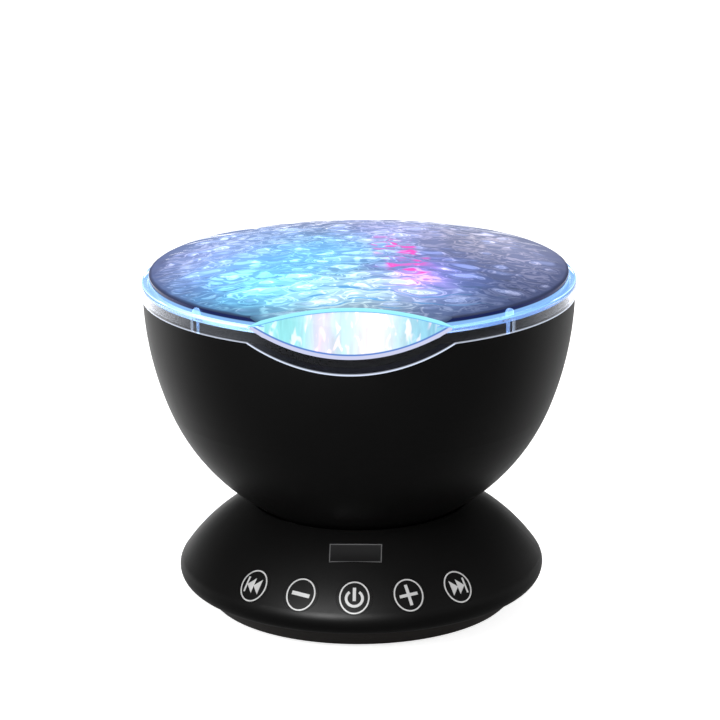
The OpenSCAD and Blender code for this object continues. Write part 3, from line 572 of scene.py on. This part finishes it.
metal_lines, given, result = new_group("metal_lines", [
    ("Place", VECTOR, (0, 0, 0)), ("Stretch", VECTOR, (300, 300, 6000)), ("Tone", COLOUR, (0.6, 0.6, 0.6, 1)),
    ("Gloss", VALUE, 0.3), ("Gloss drift", VALUE, 0.15),
], SKIN)
tree = metal_lines
lines = noise(tree, vector_maths(tree, "MULTIPLY", given["Place"], given["Stretch"]), Detail=3.0)
shift = maths(tree, "MULTIPLY_ADD", lines, 2.0, -1.0)
tone_factor = maths(tree, "MULTIPLY_ADD", shift, 0.12, 1.0)
tree.links.new(scaled(tree, given["Tone"], tone_factor), result["Colour"])
tree.links.new(maths(tree, "MULTIPLY_ADD", shift, given["Gloss drift"], given["Gloss"]), result["Roughness"])
tree.links.new(lines, result["Height"])


# %% Plastic and metal
def skinned(name, group, values, relief, depth, **sockets):
    """A material whose colour, gloss and relief come from a group."""
    material, tree, shader, place = new_material(name)
    skin = add(tree, "ShaderNodeGroup", {"Place": place["Object"], **values}, node_tree=group).outputs
    tree.links.new(skin["Colour"], shader.inputs["Base Color"])
    tree.links.new(skin["Roughness"], shader.inputs["Roughness"])
    bump = add(tree, "ShaderNodeBump", {"Height": skin["Height"], "Strength": relief, "Distance": depth})
    tree.links.new(bump.outputs[0], shader.inputs["Normal"])
    set_sockets(shader, **sockets)
    return material


def plastic(name, tone, gloss, drift=0.12, grain=1500.0, relief=0.15, **sockets):
    """Moulded plastic, rubber or paper."""
    values = {"Tone": (*tone, 1), "Tone drift": drift, "Gloss": gloss, "Grain": grain}
    return skinned(name, moulded_grain, values, relief, 0.0001, **sockets)


def metal(name, tone, gloss):
    """Bare or plated metal with fine lines."""
    return skinned(name, metal_lines, {"Tone": (*tone, 1), "Gloss": gloss}, 0.1, 0.00005, Metallic=1)


# %% [markdown]
# ## The snap tabs
# Four small tabs clip the cover to the bowl. Each shows as a rounded nub that stands on the ring's inner edge, with
# a slim rib under it on the skirt, and a stem behind the skirt ends in a hook under the bowl's edge. All are
# blocks, joined and turned to their place.

# %% Snap tabs
tab_turns = (45, 135, 225, 315)
nub_size = (0.0031, 0.0022, 0.0023)
nub_back_r = dome_edge_r - 0.0012
nub_top = ring_z + nub_size[2] - 0.0001
nub_round = 0.0014
nub_edge = 0.0002
rib_w = 0.001
rib_t = 0.0004
rib_proud = 0.00006
rib_low = skirt_low + 0.0003
rib_high = ring_z - edge_round
stem_w = 0.0032
stem_t = 0.0015
stem_out_r = dome_edge_r - cover_wall + 0.0004
stem_low = bowl_edge_z - 0.006
stem_top = ring_z - cover_wall + 0.0002
hook_h = 0.0016
cover_corners = [v.co for v in nodes["wave_cover"].data.vertices]
hook_r = max(p.xy.length for p in cover_corners if p.z < stem_low + hook_h / 2 and p.y > 0)


def pick_edges(piece, chosen):
    """Selects the edges for which chosen(one end, other end) is true, and no others."""
    mesh = piece.data
    for item in list(mesh.vertices) + list(mesh.polygons):
        item.select = False
    for edge in mesh.edges:
        edge.select = chosen(*(mesh.vertices[v].co for v in edge.vertices))
    start_edit(piece)
    bpy.ops.mesh.select_mode(type="EDGE")


def block(name, middle, size):
    """A box with its size applied."""
    bpy.ops.object.select_all(action="DESELECT")
    bpy.ops.mesh.primitive_cube_add(size=1, location=middle, scale=size)
    made = bpy.context.object
    made.name = name
    bpy.ops.object.transform_apply(location=True, rotation=True, scale=True)
    return made


def snap_tab(turn):
    """A nub on the ring, a rib on the skirt and a hooked stem behind it, turned to their place."""
    rib_middle = (0, rib_t / 2 - rim_r - rib_proud, (rib_low + rib_high) / 2)
    rib = block(f"tab_rib_{turn}", rib_middle, (rib_w, rib_t, rib_high - rib_low))
    nub_middle = (0, -nub_back_r - nub_size[1] / 2, nub_top - nub_size[2] / 2)
    tab = block(f"snap_tab_{turn}", nub_middle, nub_size)
    pick_edges(tab, lambda a, b: min(a.z, b.z) > nub_top - 1e-5 and abs(a.x - b.x) < 1e-5)
    bpy.ops.mesh.bevel(offset=nub_round, segments=5, affect="EDGES")
    bpy.ops.mesh.select_all(action="SELECT")
    bpy.ops.mesh.bevel(offset=nub_edge, segments=2, affect="EDGES")
    bpy.ops.object.mode_set(mode="OBJECT")
    stem_middle = (0, stem_t / 2 - stem_out_r, (stem_low + stem_top) / 2)
    stem = block(f"tab_stem_{turn}", stem_middle, (stem_w, stem_t, stem_top - stem_low))
    hook_middle = (0, -(hook_r + stem_out_r) / 2, stem_low + hook_h / 2)
    hook = block(f"tab_hook_{turn}", hook_middle, (stem_w, hook_r - stem_out_r, hook_h))
    make_active(tab, rib, stem, hook)
    bpy.ops.object.join()
    start_edit(tab)
    bpy.ops.mesh.select_all(action="SELECT")
    bpy.ops.transform.rotate(value=math.radians(turn), orient_axis="Z", center_override=(0, 0, 0))
    bpy.ops.object.mode_set(mode="OBJECT")
    bpy.ops.object.shade_smooth_by_angle(angle=math.radians(40))
    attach(tab, "head")
    return tab


tabs = [snap_tab(turn) for turn in tab_turns]
print("tabs:", [tab.name for tab in tabs])

# %% [markdown]
# ## The brow
# Where the eye meets the dome, the moulding has a rounded ridge that rises in an arc from one end of the lip to the
# other. It is drawn as a chain of points on the eye's plane, turned into a curve, given a round section and made a
# mesh again.

# %% Ridge over the eye
brow_r = 0.00075
brow_half = 0.0323
brow_top_y = -0.0604
brow_sag = 0.0042
brow_taper = 0.005
brow_end = 0.2
brow_steps = 48


def on_eye(x):
    """The brow's point on the eye's plane at a place across it."""
    y = brow_top_y - brow_sag * (x / brow_half) ** 2
    return Vector((x, y, lip_point.z + (y - lip_point.y) * math.tan(eye_angle)))


brow = chain("eye_brow", [on_eye(brow_half * (2 * k / brow_steps - 1)) for k in range(brow_steps + 1)])
bpy.ops.object.mode_set(mode="OBJECT")
bpy.ops.object.convert(target="CURVE")
brow.data.bevel_depth = brow_r
brow.data.bevel_resolution = 4
brow.data.use_fill_caps = True
for point in brow.data.splines[0].points:
    point.radius = min(1.0, brow_end + (brow_half - abs(point.co.x)) / brow_taper)
bpy.ops.object.convert(target="MESH")
start_edit(brow)
weld()
face_out()
bpy.ops.object.shade_smooth_by_angle(angle=math.radians(50))
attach(brow, "head")
print("brow:", len(brow.data.polygons), "faces")

# %% [markdown]
# ## Light in the water
# Lamps of several colours shine up through the turning disc, and each ripple of the dome bends them towards the eye
# or away from it. This light is painted on the dome in soft patches of colour, and the greyish patches at its left,
# right and rear are a painted reflection of the studio. Each patch is a bell curve over the object's own
# coordinates, read a little to one side where a ripple leans, which breaks the patches up as clear plastic does.
# Ripples that lean to the front catch a bright glint, those that lean back are dim, and near the middle the glints
# are red and the dim lines blue. Thin wavy lines run through it all, where light gathers as it does under water.

# %% Group for streaks
wave_streaks, given, result = new_group("wave_streaks", [
    ("Place", VECTOR, (0, 0, 0)), ("Stretch", VECTOR, (100, 200, 100)), ("Low", VALUE, 0.52), ("High", VALUE, 0.6),
], [("Mask", VALUE)])
tree = wave_streaks
stretched = vector_maths(tree, "MULTIPLY", given["Place"], given["Stretch"])
streaks = noise(tree, stretched, Detail=1.5, Distortion=0.7)
tree.links.new(smooth_step(tree, streaks, given["Low"], given["High"]), result["Mask"])


def streak_mask(tree, place, stretch, low, high):
    """The streaks as another tree sees them."""
    inputs = {"Place": place, "Stretch": stretch, "Low": low, "High": high}
    return add(tree, "ShaderNodeGroup", inputs, node_tree=wave_streaks).outputs["Mask"]


def bell(tree, spot, centre, reach):
    """One at a spot on the dome, fading to zero around it; sizes in millimetres."""
    away = vector_maths(tree, "SUBTRACT", spot, (centre[0] / 1000, centre[1] / 1000, 0))
    away = vector_maths(tree, "MULTIPLY", away, (1000 / reach[0], 1000 / reach[1], 0))
    return bell_curve(tree, vector_maths(tree, "DOT_PRODUCT", away, away, result=1))


# %% Group for the coloured light: patches, and how each ripple leans
# The coloured patches are painted lamp light; the greyish ones at the left, right and rear are a painted reflection
# of the studio.
patches = [  # centre and reach in millimetres, colour, strength
    ((-2, -47), (24, 16), (0.7, 1.0, 1.0), 0.95),
    ((-26, -44), (16, 16), (0.1, 0.8, 1.0), 0.7),
    ((-36, -24), (20, 26), (0.12, 0.52, 1.0), 1.0),
    ((-10, -8), (20, 26), (0.2, 0.68, 1.0), 0.85),
    ((20, -30), (14, 22), (0.35, 0.3, 0.9), 0.6),
    ((10, 22), (16, 30), (0.5, 0.5, 0.95), 0.6),
    ((-52, -4), (18, 32), (0.36, 0.36, 0.6), 0.8),
    ((-36, 26), (26, 26), (0.4, 0.6, 0.95), 0.6),
    ((46, 22), (28, 28), (0.42, 0.4, 0.46), 0.7),
    ((0, 54), (60, 20), (0.5, 0.55, 0.72), 0.5),
    ((20, -33), (8, 11), (0.9, 0.12, 0.75), 0.55),
    ((29, -34), (14, 22), (0.2, 0.38, 0.95), 0.35),
    ((54, -2), (16, 30), (0.26, 0.28, 0.46), 0.5),
]
water_light, given, result = new_group("water_light", [
    ("Place", VECTOR, (0, 0, 0)), ("Lean", VECTOR, (0, 0, 1)), ("Curve", VALUE, 1 / dome_r), ("Bend", VALUE, 0.02),
], [("Light", COLOUR)])
tree = water_light
smooth_lean = scaled(tree, given["Place"], given["Curve"])
ripple_lean = vector_maths(tree, "SUBTRACT", given["Lean"], smooth_lean)
bent = summed(tree, given["Place"], scaled(tree, ripple_lean, given["Bend"]))
field = scaled(tree, (1, 1, 1), 0.0)
for centre, reach, colour, strength in patches:
    full = tuple(part * strength for part in colour)
    field = summed(tree, field, scaled(tree, full, bell(tree, bent, centre, reach)))
leaning = along(tree, ripple_lean, (0.1, -1.0, 0.0))
print("patches of light:", len(patches))

# %% Glints, troughs and thin lines
rear_clear = 0.005
to_edge = maths(tree, "SUBTRACT", dome_edge_r, axis_distance(tree, given["Place"]))
at_rear = smooth_step(tree, along(tree, given["Place"], (0, 1, 0)), -0.02, 0.02)
rear_margin = maths(tree, "MULTIPLY", at_rear, rear_clear)
off_edge = smooth_step(tree, maths(tree, "SUBTRACT", to_edge, rear_margin), 0.0008, 0.003)
glint = maths(tree, "MULTIPLY", smooth_step(tree, leaning, 0.1, 0.27), off_edge)
trough = smooth_step(tree, negative(tree, leaning), 0.04, 0.18)
dimmed = maths(tree, "MULTIPLY_ADD", trough, -0.5, 1.0)
wavy = noise(tree, vector_maths(tree, "MULTIPLY", bent, (105, 300, 0)), Detail=0.5, Distortion=0.9)
off_line = maths(tree, "ABSOLUTE", maths(tree, "SUBTRACT", wavy, 0.5))
line = smooth_step(tree, negative(tree, off_line), -0.08, -0.01)
line_gain = scaled(tree, (0.85, 0.7, 0.5), maths(tree, "MULTIPLY", line, off_edge))
line_gain = summed(tree, line_gain, (0.74, 0.79, 0.88))
still = summed(tree, scaled(tree, field, 0.85), (0.055, 0.072, 0.155))
sparkle = summed(tree, scaled(tree, field, 0.4), (0.2, 0.23, 0.36))
light = summed(tree, scaled(tree, still, dimmed), scaled(tree, sparkle, glint))
light = vector_maths(tree, "MULTIPLY", light, line_gain)

# %% Blue lines, red glints and painted shade along the dome's edge
trough_blue = (0.1, 0.42, 0.88, 1)
glint_red = (1.0, 0.12, 0.65, 1)
in_core = bell(tree, bent, (0, -45), (30, 14))
blue_part = maths(tree, "MULTIPLY", smooth_step(tree, trough, 0.25, 0.75), in_core)
light = mixed_colour(tree, blue_part, light, trough_blue)
red_streaks = streak_mask(tree, bent, (90, 200, 0), 0.4, 0.5)
red_wave = smooth_step(tree, leaning, 0.0, 0.09)
slanted = summed(tree, bent, scaled(tree, (0.22, 0, 0), along(tree, bent, (0, 1, 0))))
red_zone = smooth_step(tree, bell(tree, slanted, (11.5, -13), (7, 30)), 0.2, 0.7)
in_red = maths(tree, "MULTIPLY", red_zone, red_streaks)
light = mixed_colour(tree, maths(tree, "MULTIPLY", red_wave, in_red), light, glint_red)
# Painted shade: the light is dimmed to half in a thin band along the dome's edge.
edge_shade_and_highlight = maths(tree, "MULTIPLY_ADD", smooth_step(tree, to_edge, 0.0, 0.0014), 0.5, 0.5)
tree.links.new(scaled(tree, light, edge_shade_and_highlight), result["Light"])


def lamp_light(tree, place, lean):
    """The coloured light as a material sees it."""
    return add(tree, "ShaderNodeGroup", {"Place": place, "Lean": lean}, node_tree=water_light).outputs["Light"]


# %% [markdown]
# ## Finishes of the cover
# The dome and the eye are clear plastic, made here as glossy dark surfaces: that dark colour is painted shade, and
# the light in them is an emission. The eye is a flat window close over the lamps, so it shows them as bright upright
# streaks. The ring and skirt are plain clear plastic, with painted light caught in the ring, along the skirt's lower
# edge and a little at its sides.

# %% Water of the dome
def lit(tree, shader, colour, base, roughness, ior, **sockets):
    """A dark glossy or clear surface that gives light of its own."""
    tree.links.new(colour, shader.inputs["Emission Color"])
    set_sockets(shader, Emission_Strength=1.0, Base_Color=base, Roughness=roughness, IOR=ior, **sockets)


water, tree, shader, place = new_material("lit_water")
# Painted shade and light: the clear dome is given a dark base colour, and the lamp light as its emission.
lit(tree, shader, lamp_light(tree, place["Object"], place["Normal"]), (0.012, 0.014, 0.03, 1), 0.1, 1.16)

# %% Streaks of the eye
eye, tree, shader, place = new_material("lit_eye")
eye_x = coordinate(tree, place["Object"], "X")
upright = vector_maths(tree, "MULTIPLY", place["Object"], (420.0, 60.0, 60.0))
glitter = maths(tree, "MULTIPLY_ADD", noise(tree, upright, Detail=3.0, Distortion=0.6), 0.7, 0.6)
glow = scaled(tree, (0.36, 0.92, 0.95), glitter)
for middle, half_width, colour in (  # upright bands across the eye, in metres
    (0.007, 0.009, (0.7, 0.15, 0.15)),
    (-0.009, 0.005, (0.5, -0.04, 0.1)),
    (0.025, 0.009, (-0.04, -0.2, -0.05)),
):
    away = maths(tree, "DIVIDE", maths(tree, "SUBTRACT", eye_x, middle), half_width)
    glow = summed(tree, glow, scaled(tree, colour, bell_curve(tree, maths(tree, "MULTIPLY", away, away))))
flecks = streak_mask(tree, place["Object"], (420, 150, 150), 0.54, 0.68)
glow = summed(tree, glow, scaled(tree, (0.5, 0.2, 0.16), flecks))

# %% Water beside the eye, and painted light along its lip
lip_glow_blue = (0.1, 0.22, 0.62, 1)
lip_glow_pale = (0.62, 0.64, 0.85, 1)
arch = maths(tree, "MULTIPLY", maths(tree, "POWER", maths(tree, "DIVIDE", eye_x, brow_half), 2.0), -brow_sag)
over_brow = maths(tree, "SUBTRACT", coordinate(tree, place["Object"], "Y"), brow_top_y)
over_brow = smooth_step(tree, maths(tree, "SUBTRACT", over_brow, arch), -0.0002, 0.0002)
beside = lamp_light(tree, place["Object"], scaled(tree, place["Object"], 1 / dome_r))
glow = mixed_colour(tree, over_brow, glow, beside)
from_axis = axis_distance(tree, place["Object"])
# Painted light along the lip: a blue band, and a pale one at its very edge.
glow = mixed_colour(tree, smooth_step(tree, from_axis, rim_r - 0.0014, rim_r - 0.0012), glow, lip_glow_blue)
glow = mixed_colour(tree, smooth_step(tree, from_axis, rim_r - 0.001, rim_r - 0.0008), glow, lip_glow_pale)
# Painted shade and light: the clear eye is given a dark base colour, and its streaks as its emission.
lit(tree, shader, glow, (0.02, 0.03, 0.05, 1), 0.08, 1.2)

# %% Ridge of the brow, with painted light: bright on its crown and blue at its sides
brow_side_light = (0.1, 0.3, 0.75, 1)
brow_crown_light = (0.33, 0.86, 0.92, 1)
ridge, tree, shader, place = new_material("lit_brow")
# Painted light: the ridge is bright where it faces out of the eye and blue at its sides.
crown = smooth_step(tree, along(tree, place["Normal"], eye_normal), 0.2, 0.75)
lit(tree, shader, mixed_colour(tree, crown, brow_side_light, brow_crown_light), (0.05, 0.1, 0.14, 1), 0.1, 1.2)
brow.data.materials.append(ridge)

# %% Clear ring and skirt
ring_glow = (0.2, 0.42, 0.85)
front_left_glow = (0.45, 0.55, 0.3)
edge_glow = (0.42, 0.46, 0.55)
side_glow = (0.05, 0.053, 0.06)
clear, tree, shader, place = new_material("clear_cover")
height = coordinate(tree, place["Object"], "Z")
to_right = coordinate(tree, place["Object"], "X")
on_top = smooth_step(tree, height, ring_z - 0.0004, ring_z - 0.0001)
outside = smooth_step(tree, axis_distance(tree, place["Object"]), rim_r - 0.0004, rim_r - 0.0002)
over_dip = along(tree, vector_maths(tree, "SUBTRACT", place["Object"], tuple(skirt_point)), eye_normal)
over_edge = maths(tree, "MAXIMUM", maths(tree, "SUBTRACT", height, skirt_low), over_dip)
at_edge = maths(tree, "MULTIPLY", smooth_step(tree, negative(tree, over_edge), -0.0006, -0.0003), outside)
front_left = maths(tree, "MULTIPLY", bell(tree, place["Object"], (-46, -56), (32, 30)), on_top)
at_left = smooth_step(tree, negative(tree, to_right), 0.25 * rim_r, 0.6 * rim_r)
at_right = smooth_step(tree, to_right, 0.5 * rim_r, 0.9 * rim_r)
at_side = maths(tree, "MULTIPLY", maths(tree, "MULTIPLY_ADD", at_right, 0.4, at_left), outside)
glow = scaled(tree, ring_glow, on_top)
for colour, amount in ((front_left_glow, front_left), (edge_glow, at_edge), (side_glow, at_side)):
    glow = summed(tree, glow, scaled(tree, colour, amount))
lit(tree, shader, glow, (0.72, 0.75, 0.83, 1), 0.06, 1.25, Transmission_Weight=1.0)

# %% Clear tabs, which hold a little of the ring's light
rib_light = (0.03, 0.035, 0.05, 1)
nub_light = (0.16, 0.36, 0.75, 1)
tab_glass, tree, shader, place = new_material("tab_clear")
on_nub = smooth_step(tree, coordinate(tree, place["Object"], "Z"), ring_z - 0.0008, ring_z - 0.0005)
glow = mixed_colour(tree, on_nub, rib_light, nub_light)
lit(tree, shader, glow, (0.8, 0.9, 1.0, 1), 0.08, 1.3, Transmission_Weight=0.85)

# %% Painted shade in the groove between the ring and the dome, and painted light along its foot
groove_shade = (0.006, 0.012, 0.07, 1)
groove_foot_light = (0.25, 0.5, 0.9, 1)
groove, tree, shader, place = new_material("groove_shade_and_light")
# Painted shade: the groove's wall is dark navy, with painted light as a bright blue band along its foot.
depth = negative(tree, coordinate(tree, place["Object"], "Z"))
low_part = smooth_step(tree, depth, -ring_z - 0.0013, -ring_z - 0.0009)
lit(tree, shader, mixed_colour(tree, low_part, groove_shade, groove_foot_light), (0.006, 0.008, 0.03, 1), 0.12, 1.2)

# %% Which face of the cover has which finish
eye_tolerance = 5e-5
step_tolerance = 0.0004
dome_foot_z = ring_z + step_h * 0.6
for finish in (clear, water, eye, groove):
    cover.data.materials.append(finish)
for face in cover.data.polygons:
    r = math.hypot(face.center.x, face.center.y)
    past_eye = (face.center - lip_point).dot(eye_normal)
    in_eye = abs(past_eye) < eye_tolerance and face.normal.dot(eye_normal) > 0.9
    on_dome = face.center.z > dome_foot_z and face.normal.z > 0.3
    on_step = face.center.z > ring_z and abs(r - dome_edge_r) < step_tolerance
    face.material_index = 2 if in_eye else 1 if on_dome else 3 if on_step else 0
make_active(cover)
bpy.ops.object.shade_smooth_by_angle(angle=math.radians(40))
print("cover faces by finish:", [sum(f.material_index == k for f in cover.data.polygons) for k in range(4)])

# %% [markdown]
# ## Finishes of everything else
# The record names a finish for each node of the frame. The plastics and metals are made from the two groups, each
# with its own tone and gloss, and are then given to the nodes by those names.

# %% Plastics, metals and lamps
def led(name, tone, light):
    """A lamp's clear cap, which shines."""
    return plastic(name, tone, 0.2, Emission_Color=light, Emission_Strength=2.0)


tones = {
    "satin_black": plastic("satin_black", (0.0035, 0.0034, 0.0034), 0.44, grain=4000.0, Specular_IOR_Level=0.06),
    "plate_black": plastic("plate_black", (0.016, 0.0135, 0.012), 0.55, grain=2500.0, Specular_IOR_Level=0.1),
    "foot_rubber": plastic("foot_rubber", (0.02, 0.02, 0.02), 0.85, grain=2500.0, relief=0.3),
    "glide_nylon": plastic("glide_nylon", (0.005, 0.005, 0.005), 0.6, Specular_IOR_Level=0.04),
    "circuit_green": plastic("circuit_green", (0.02, 0.12, 0.05), 0.35, drift=0.25),
    "chip_black": plastic("chip_black", (0.02, 0.02, 0.02), 0.5, grain=4000.0),
    "capacitor_sleeve": plastic("capacitor_sleeve", (0.03, 0.05, 0.2), 0.3),
    "cone_paper": plastic("cone_paper", (0.03, 0.03, 0.03), 0.9, grain=2500.0, relief=0.5),
    "magnet_grey": plastic("magnet_grey", (0.15, 0.15, 0.16), 0.6, drift=0.3, relief=0.4),
    "speaker_steel": plastic("speaker_steel", (0.05, 0.05, 0.055), 0.4),
    "icon_white": plastic("icon_white", (0.6, 0.6, 0.6), 0.5, drift=0.05, grain=4000.0),
    "plunger_grey": plastic("plunger_grey", (0.5, 0.5, 0.48), 0.45),
    "deck_white": plastic("deck_white", (0.8, 0.8, 0.79), 0.4, drift=0.04),
    "gear_nylon": plastic("gear_nylon", (0.78, 0.76, 0.68), 0.45, drift=0.06),
    "disc_clear": plastic("disc_clear", (0.9, 0.95, 1.0), 0.06, drift=0.02, relief=0.02,
                          Transmission_Weight=0.4, IOR=1.47),
    "led_white": led("led_white", (0.9, 0.92, 0.95), (0.9, 0.95, 1.0, 1)),
    "led_blue": led("led_blue", (0.1, 0.25, 0.8), (0.1, 0.35, 1.0, 1)),
    "led_red": led("led_red", (0.8, 0.08, 0.3), (1.0, 0.1, 0.4, 1)),
    "screw_steel": metal("screw_steel", (0.55, 0.55, 0.56), 0.35),
    "socket_metal": metal("socket_metal", (0.6, 0.6, 0.61), 0.3),
    "spindle_steel": metal("spindle_steel", (0.58, 0.58, 0.6), 0.25),
    "motor_metal": metal("motor_metal", (0.55, 0.56, 0.55), 0.4),
    "bush_brass": metal("bush_brass", (0.7, 0.5, 0.22), 0.3),
}
print("finishes:", len(tones))

# %% Receiver window with a painted highlight along its edge, and painted light that makes it lighter towards its top
window_slope = 55.24
body_low, body_high = 0.012, 0.034
edge_highlight = 0.14
window, tree, shader, place = new_material("window_clear")
corners = [Vector(v.co) for v in nodes["ir_window"].data.vertices]
lean = math.radians(90 - window_slope)
up_slope = Vector((0, math.cos(lean), math.sin(lean)))
heights = [corner.dot(up_slope) for corner in corners]
half_w = max(abs(corner.x) for corner in corners)
half_h = (max(heights) - min(heights)) / 2
middle_h = (max(heights) + min(heights)) / 2
side = maths(tree, "DIVIDE", maths(tree, "ABSOLUTE", coordinate(tree, place["Object"], "X")), half_w)
rise = maths(tree, "DIVIDE", maths(tree, "SUBTRACT", along(tree, place["Object"], up_slope), middle_h), half_h)
near_side = ramp(tree, side, 0.955, 0.97)
near_end = ramp(tree, maths(tree, "ABSOLUTE", rise), 0.89, 0.93)
# Painted highlight along the window's four edges.
edge_shade_and_highlight = maths(tree, "MULTIPLY", maths(tree, "MAXIMUM", near_side, near_end), edge_highlight)
# Painted light: the window is lighter towards its top, from body_low to body_high.
shade = maths(tree, "ADD", ramp(tree, rise, -1.0, 1.0, body_low, body_high), edge_shade_and_highlight)
tree.links.new(scaled(tree, (1.0, 1.0, 1.02), shade), shader.inputs["Base Color"])
set_sockets(shader, Roughness=0.2, Specular_IOR_Level=0.12)
tones["window_clear"] = window
tones["cover_clear"] = clear

# %% Giving the finishes out
for row in frame["record"]["subparts"]:
    node = nodes[row["node"]]
    node.data.materials.clear()
    node.data.materials.append(tones[row["material_slot"]])
for tab in tabs:
    tab.data.materials.append(tab_glass)
disc.data.materials.append(tones["disc_clear"])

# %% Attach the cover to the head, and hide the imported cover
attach(cover, "head")
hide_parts("wave_cover")
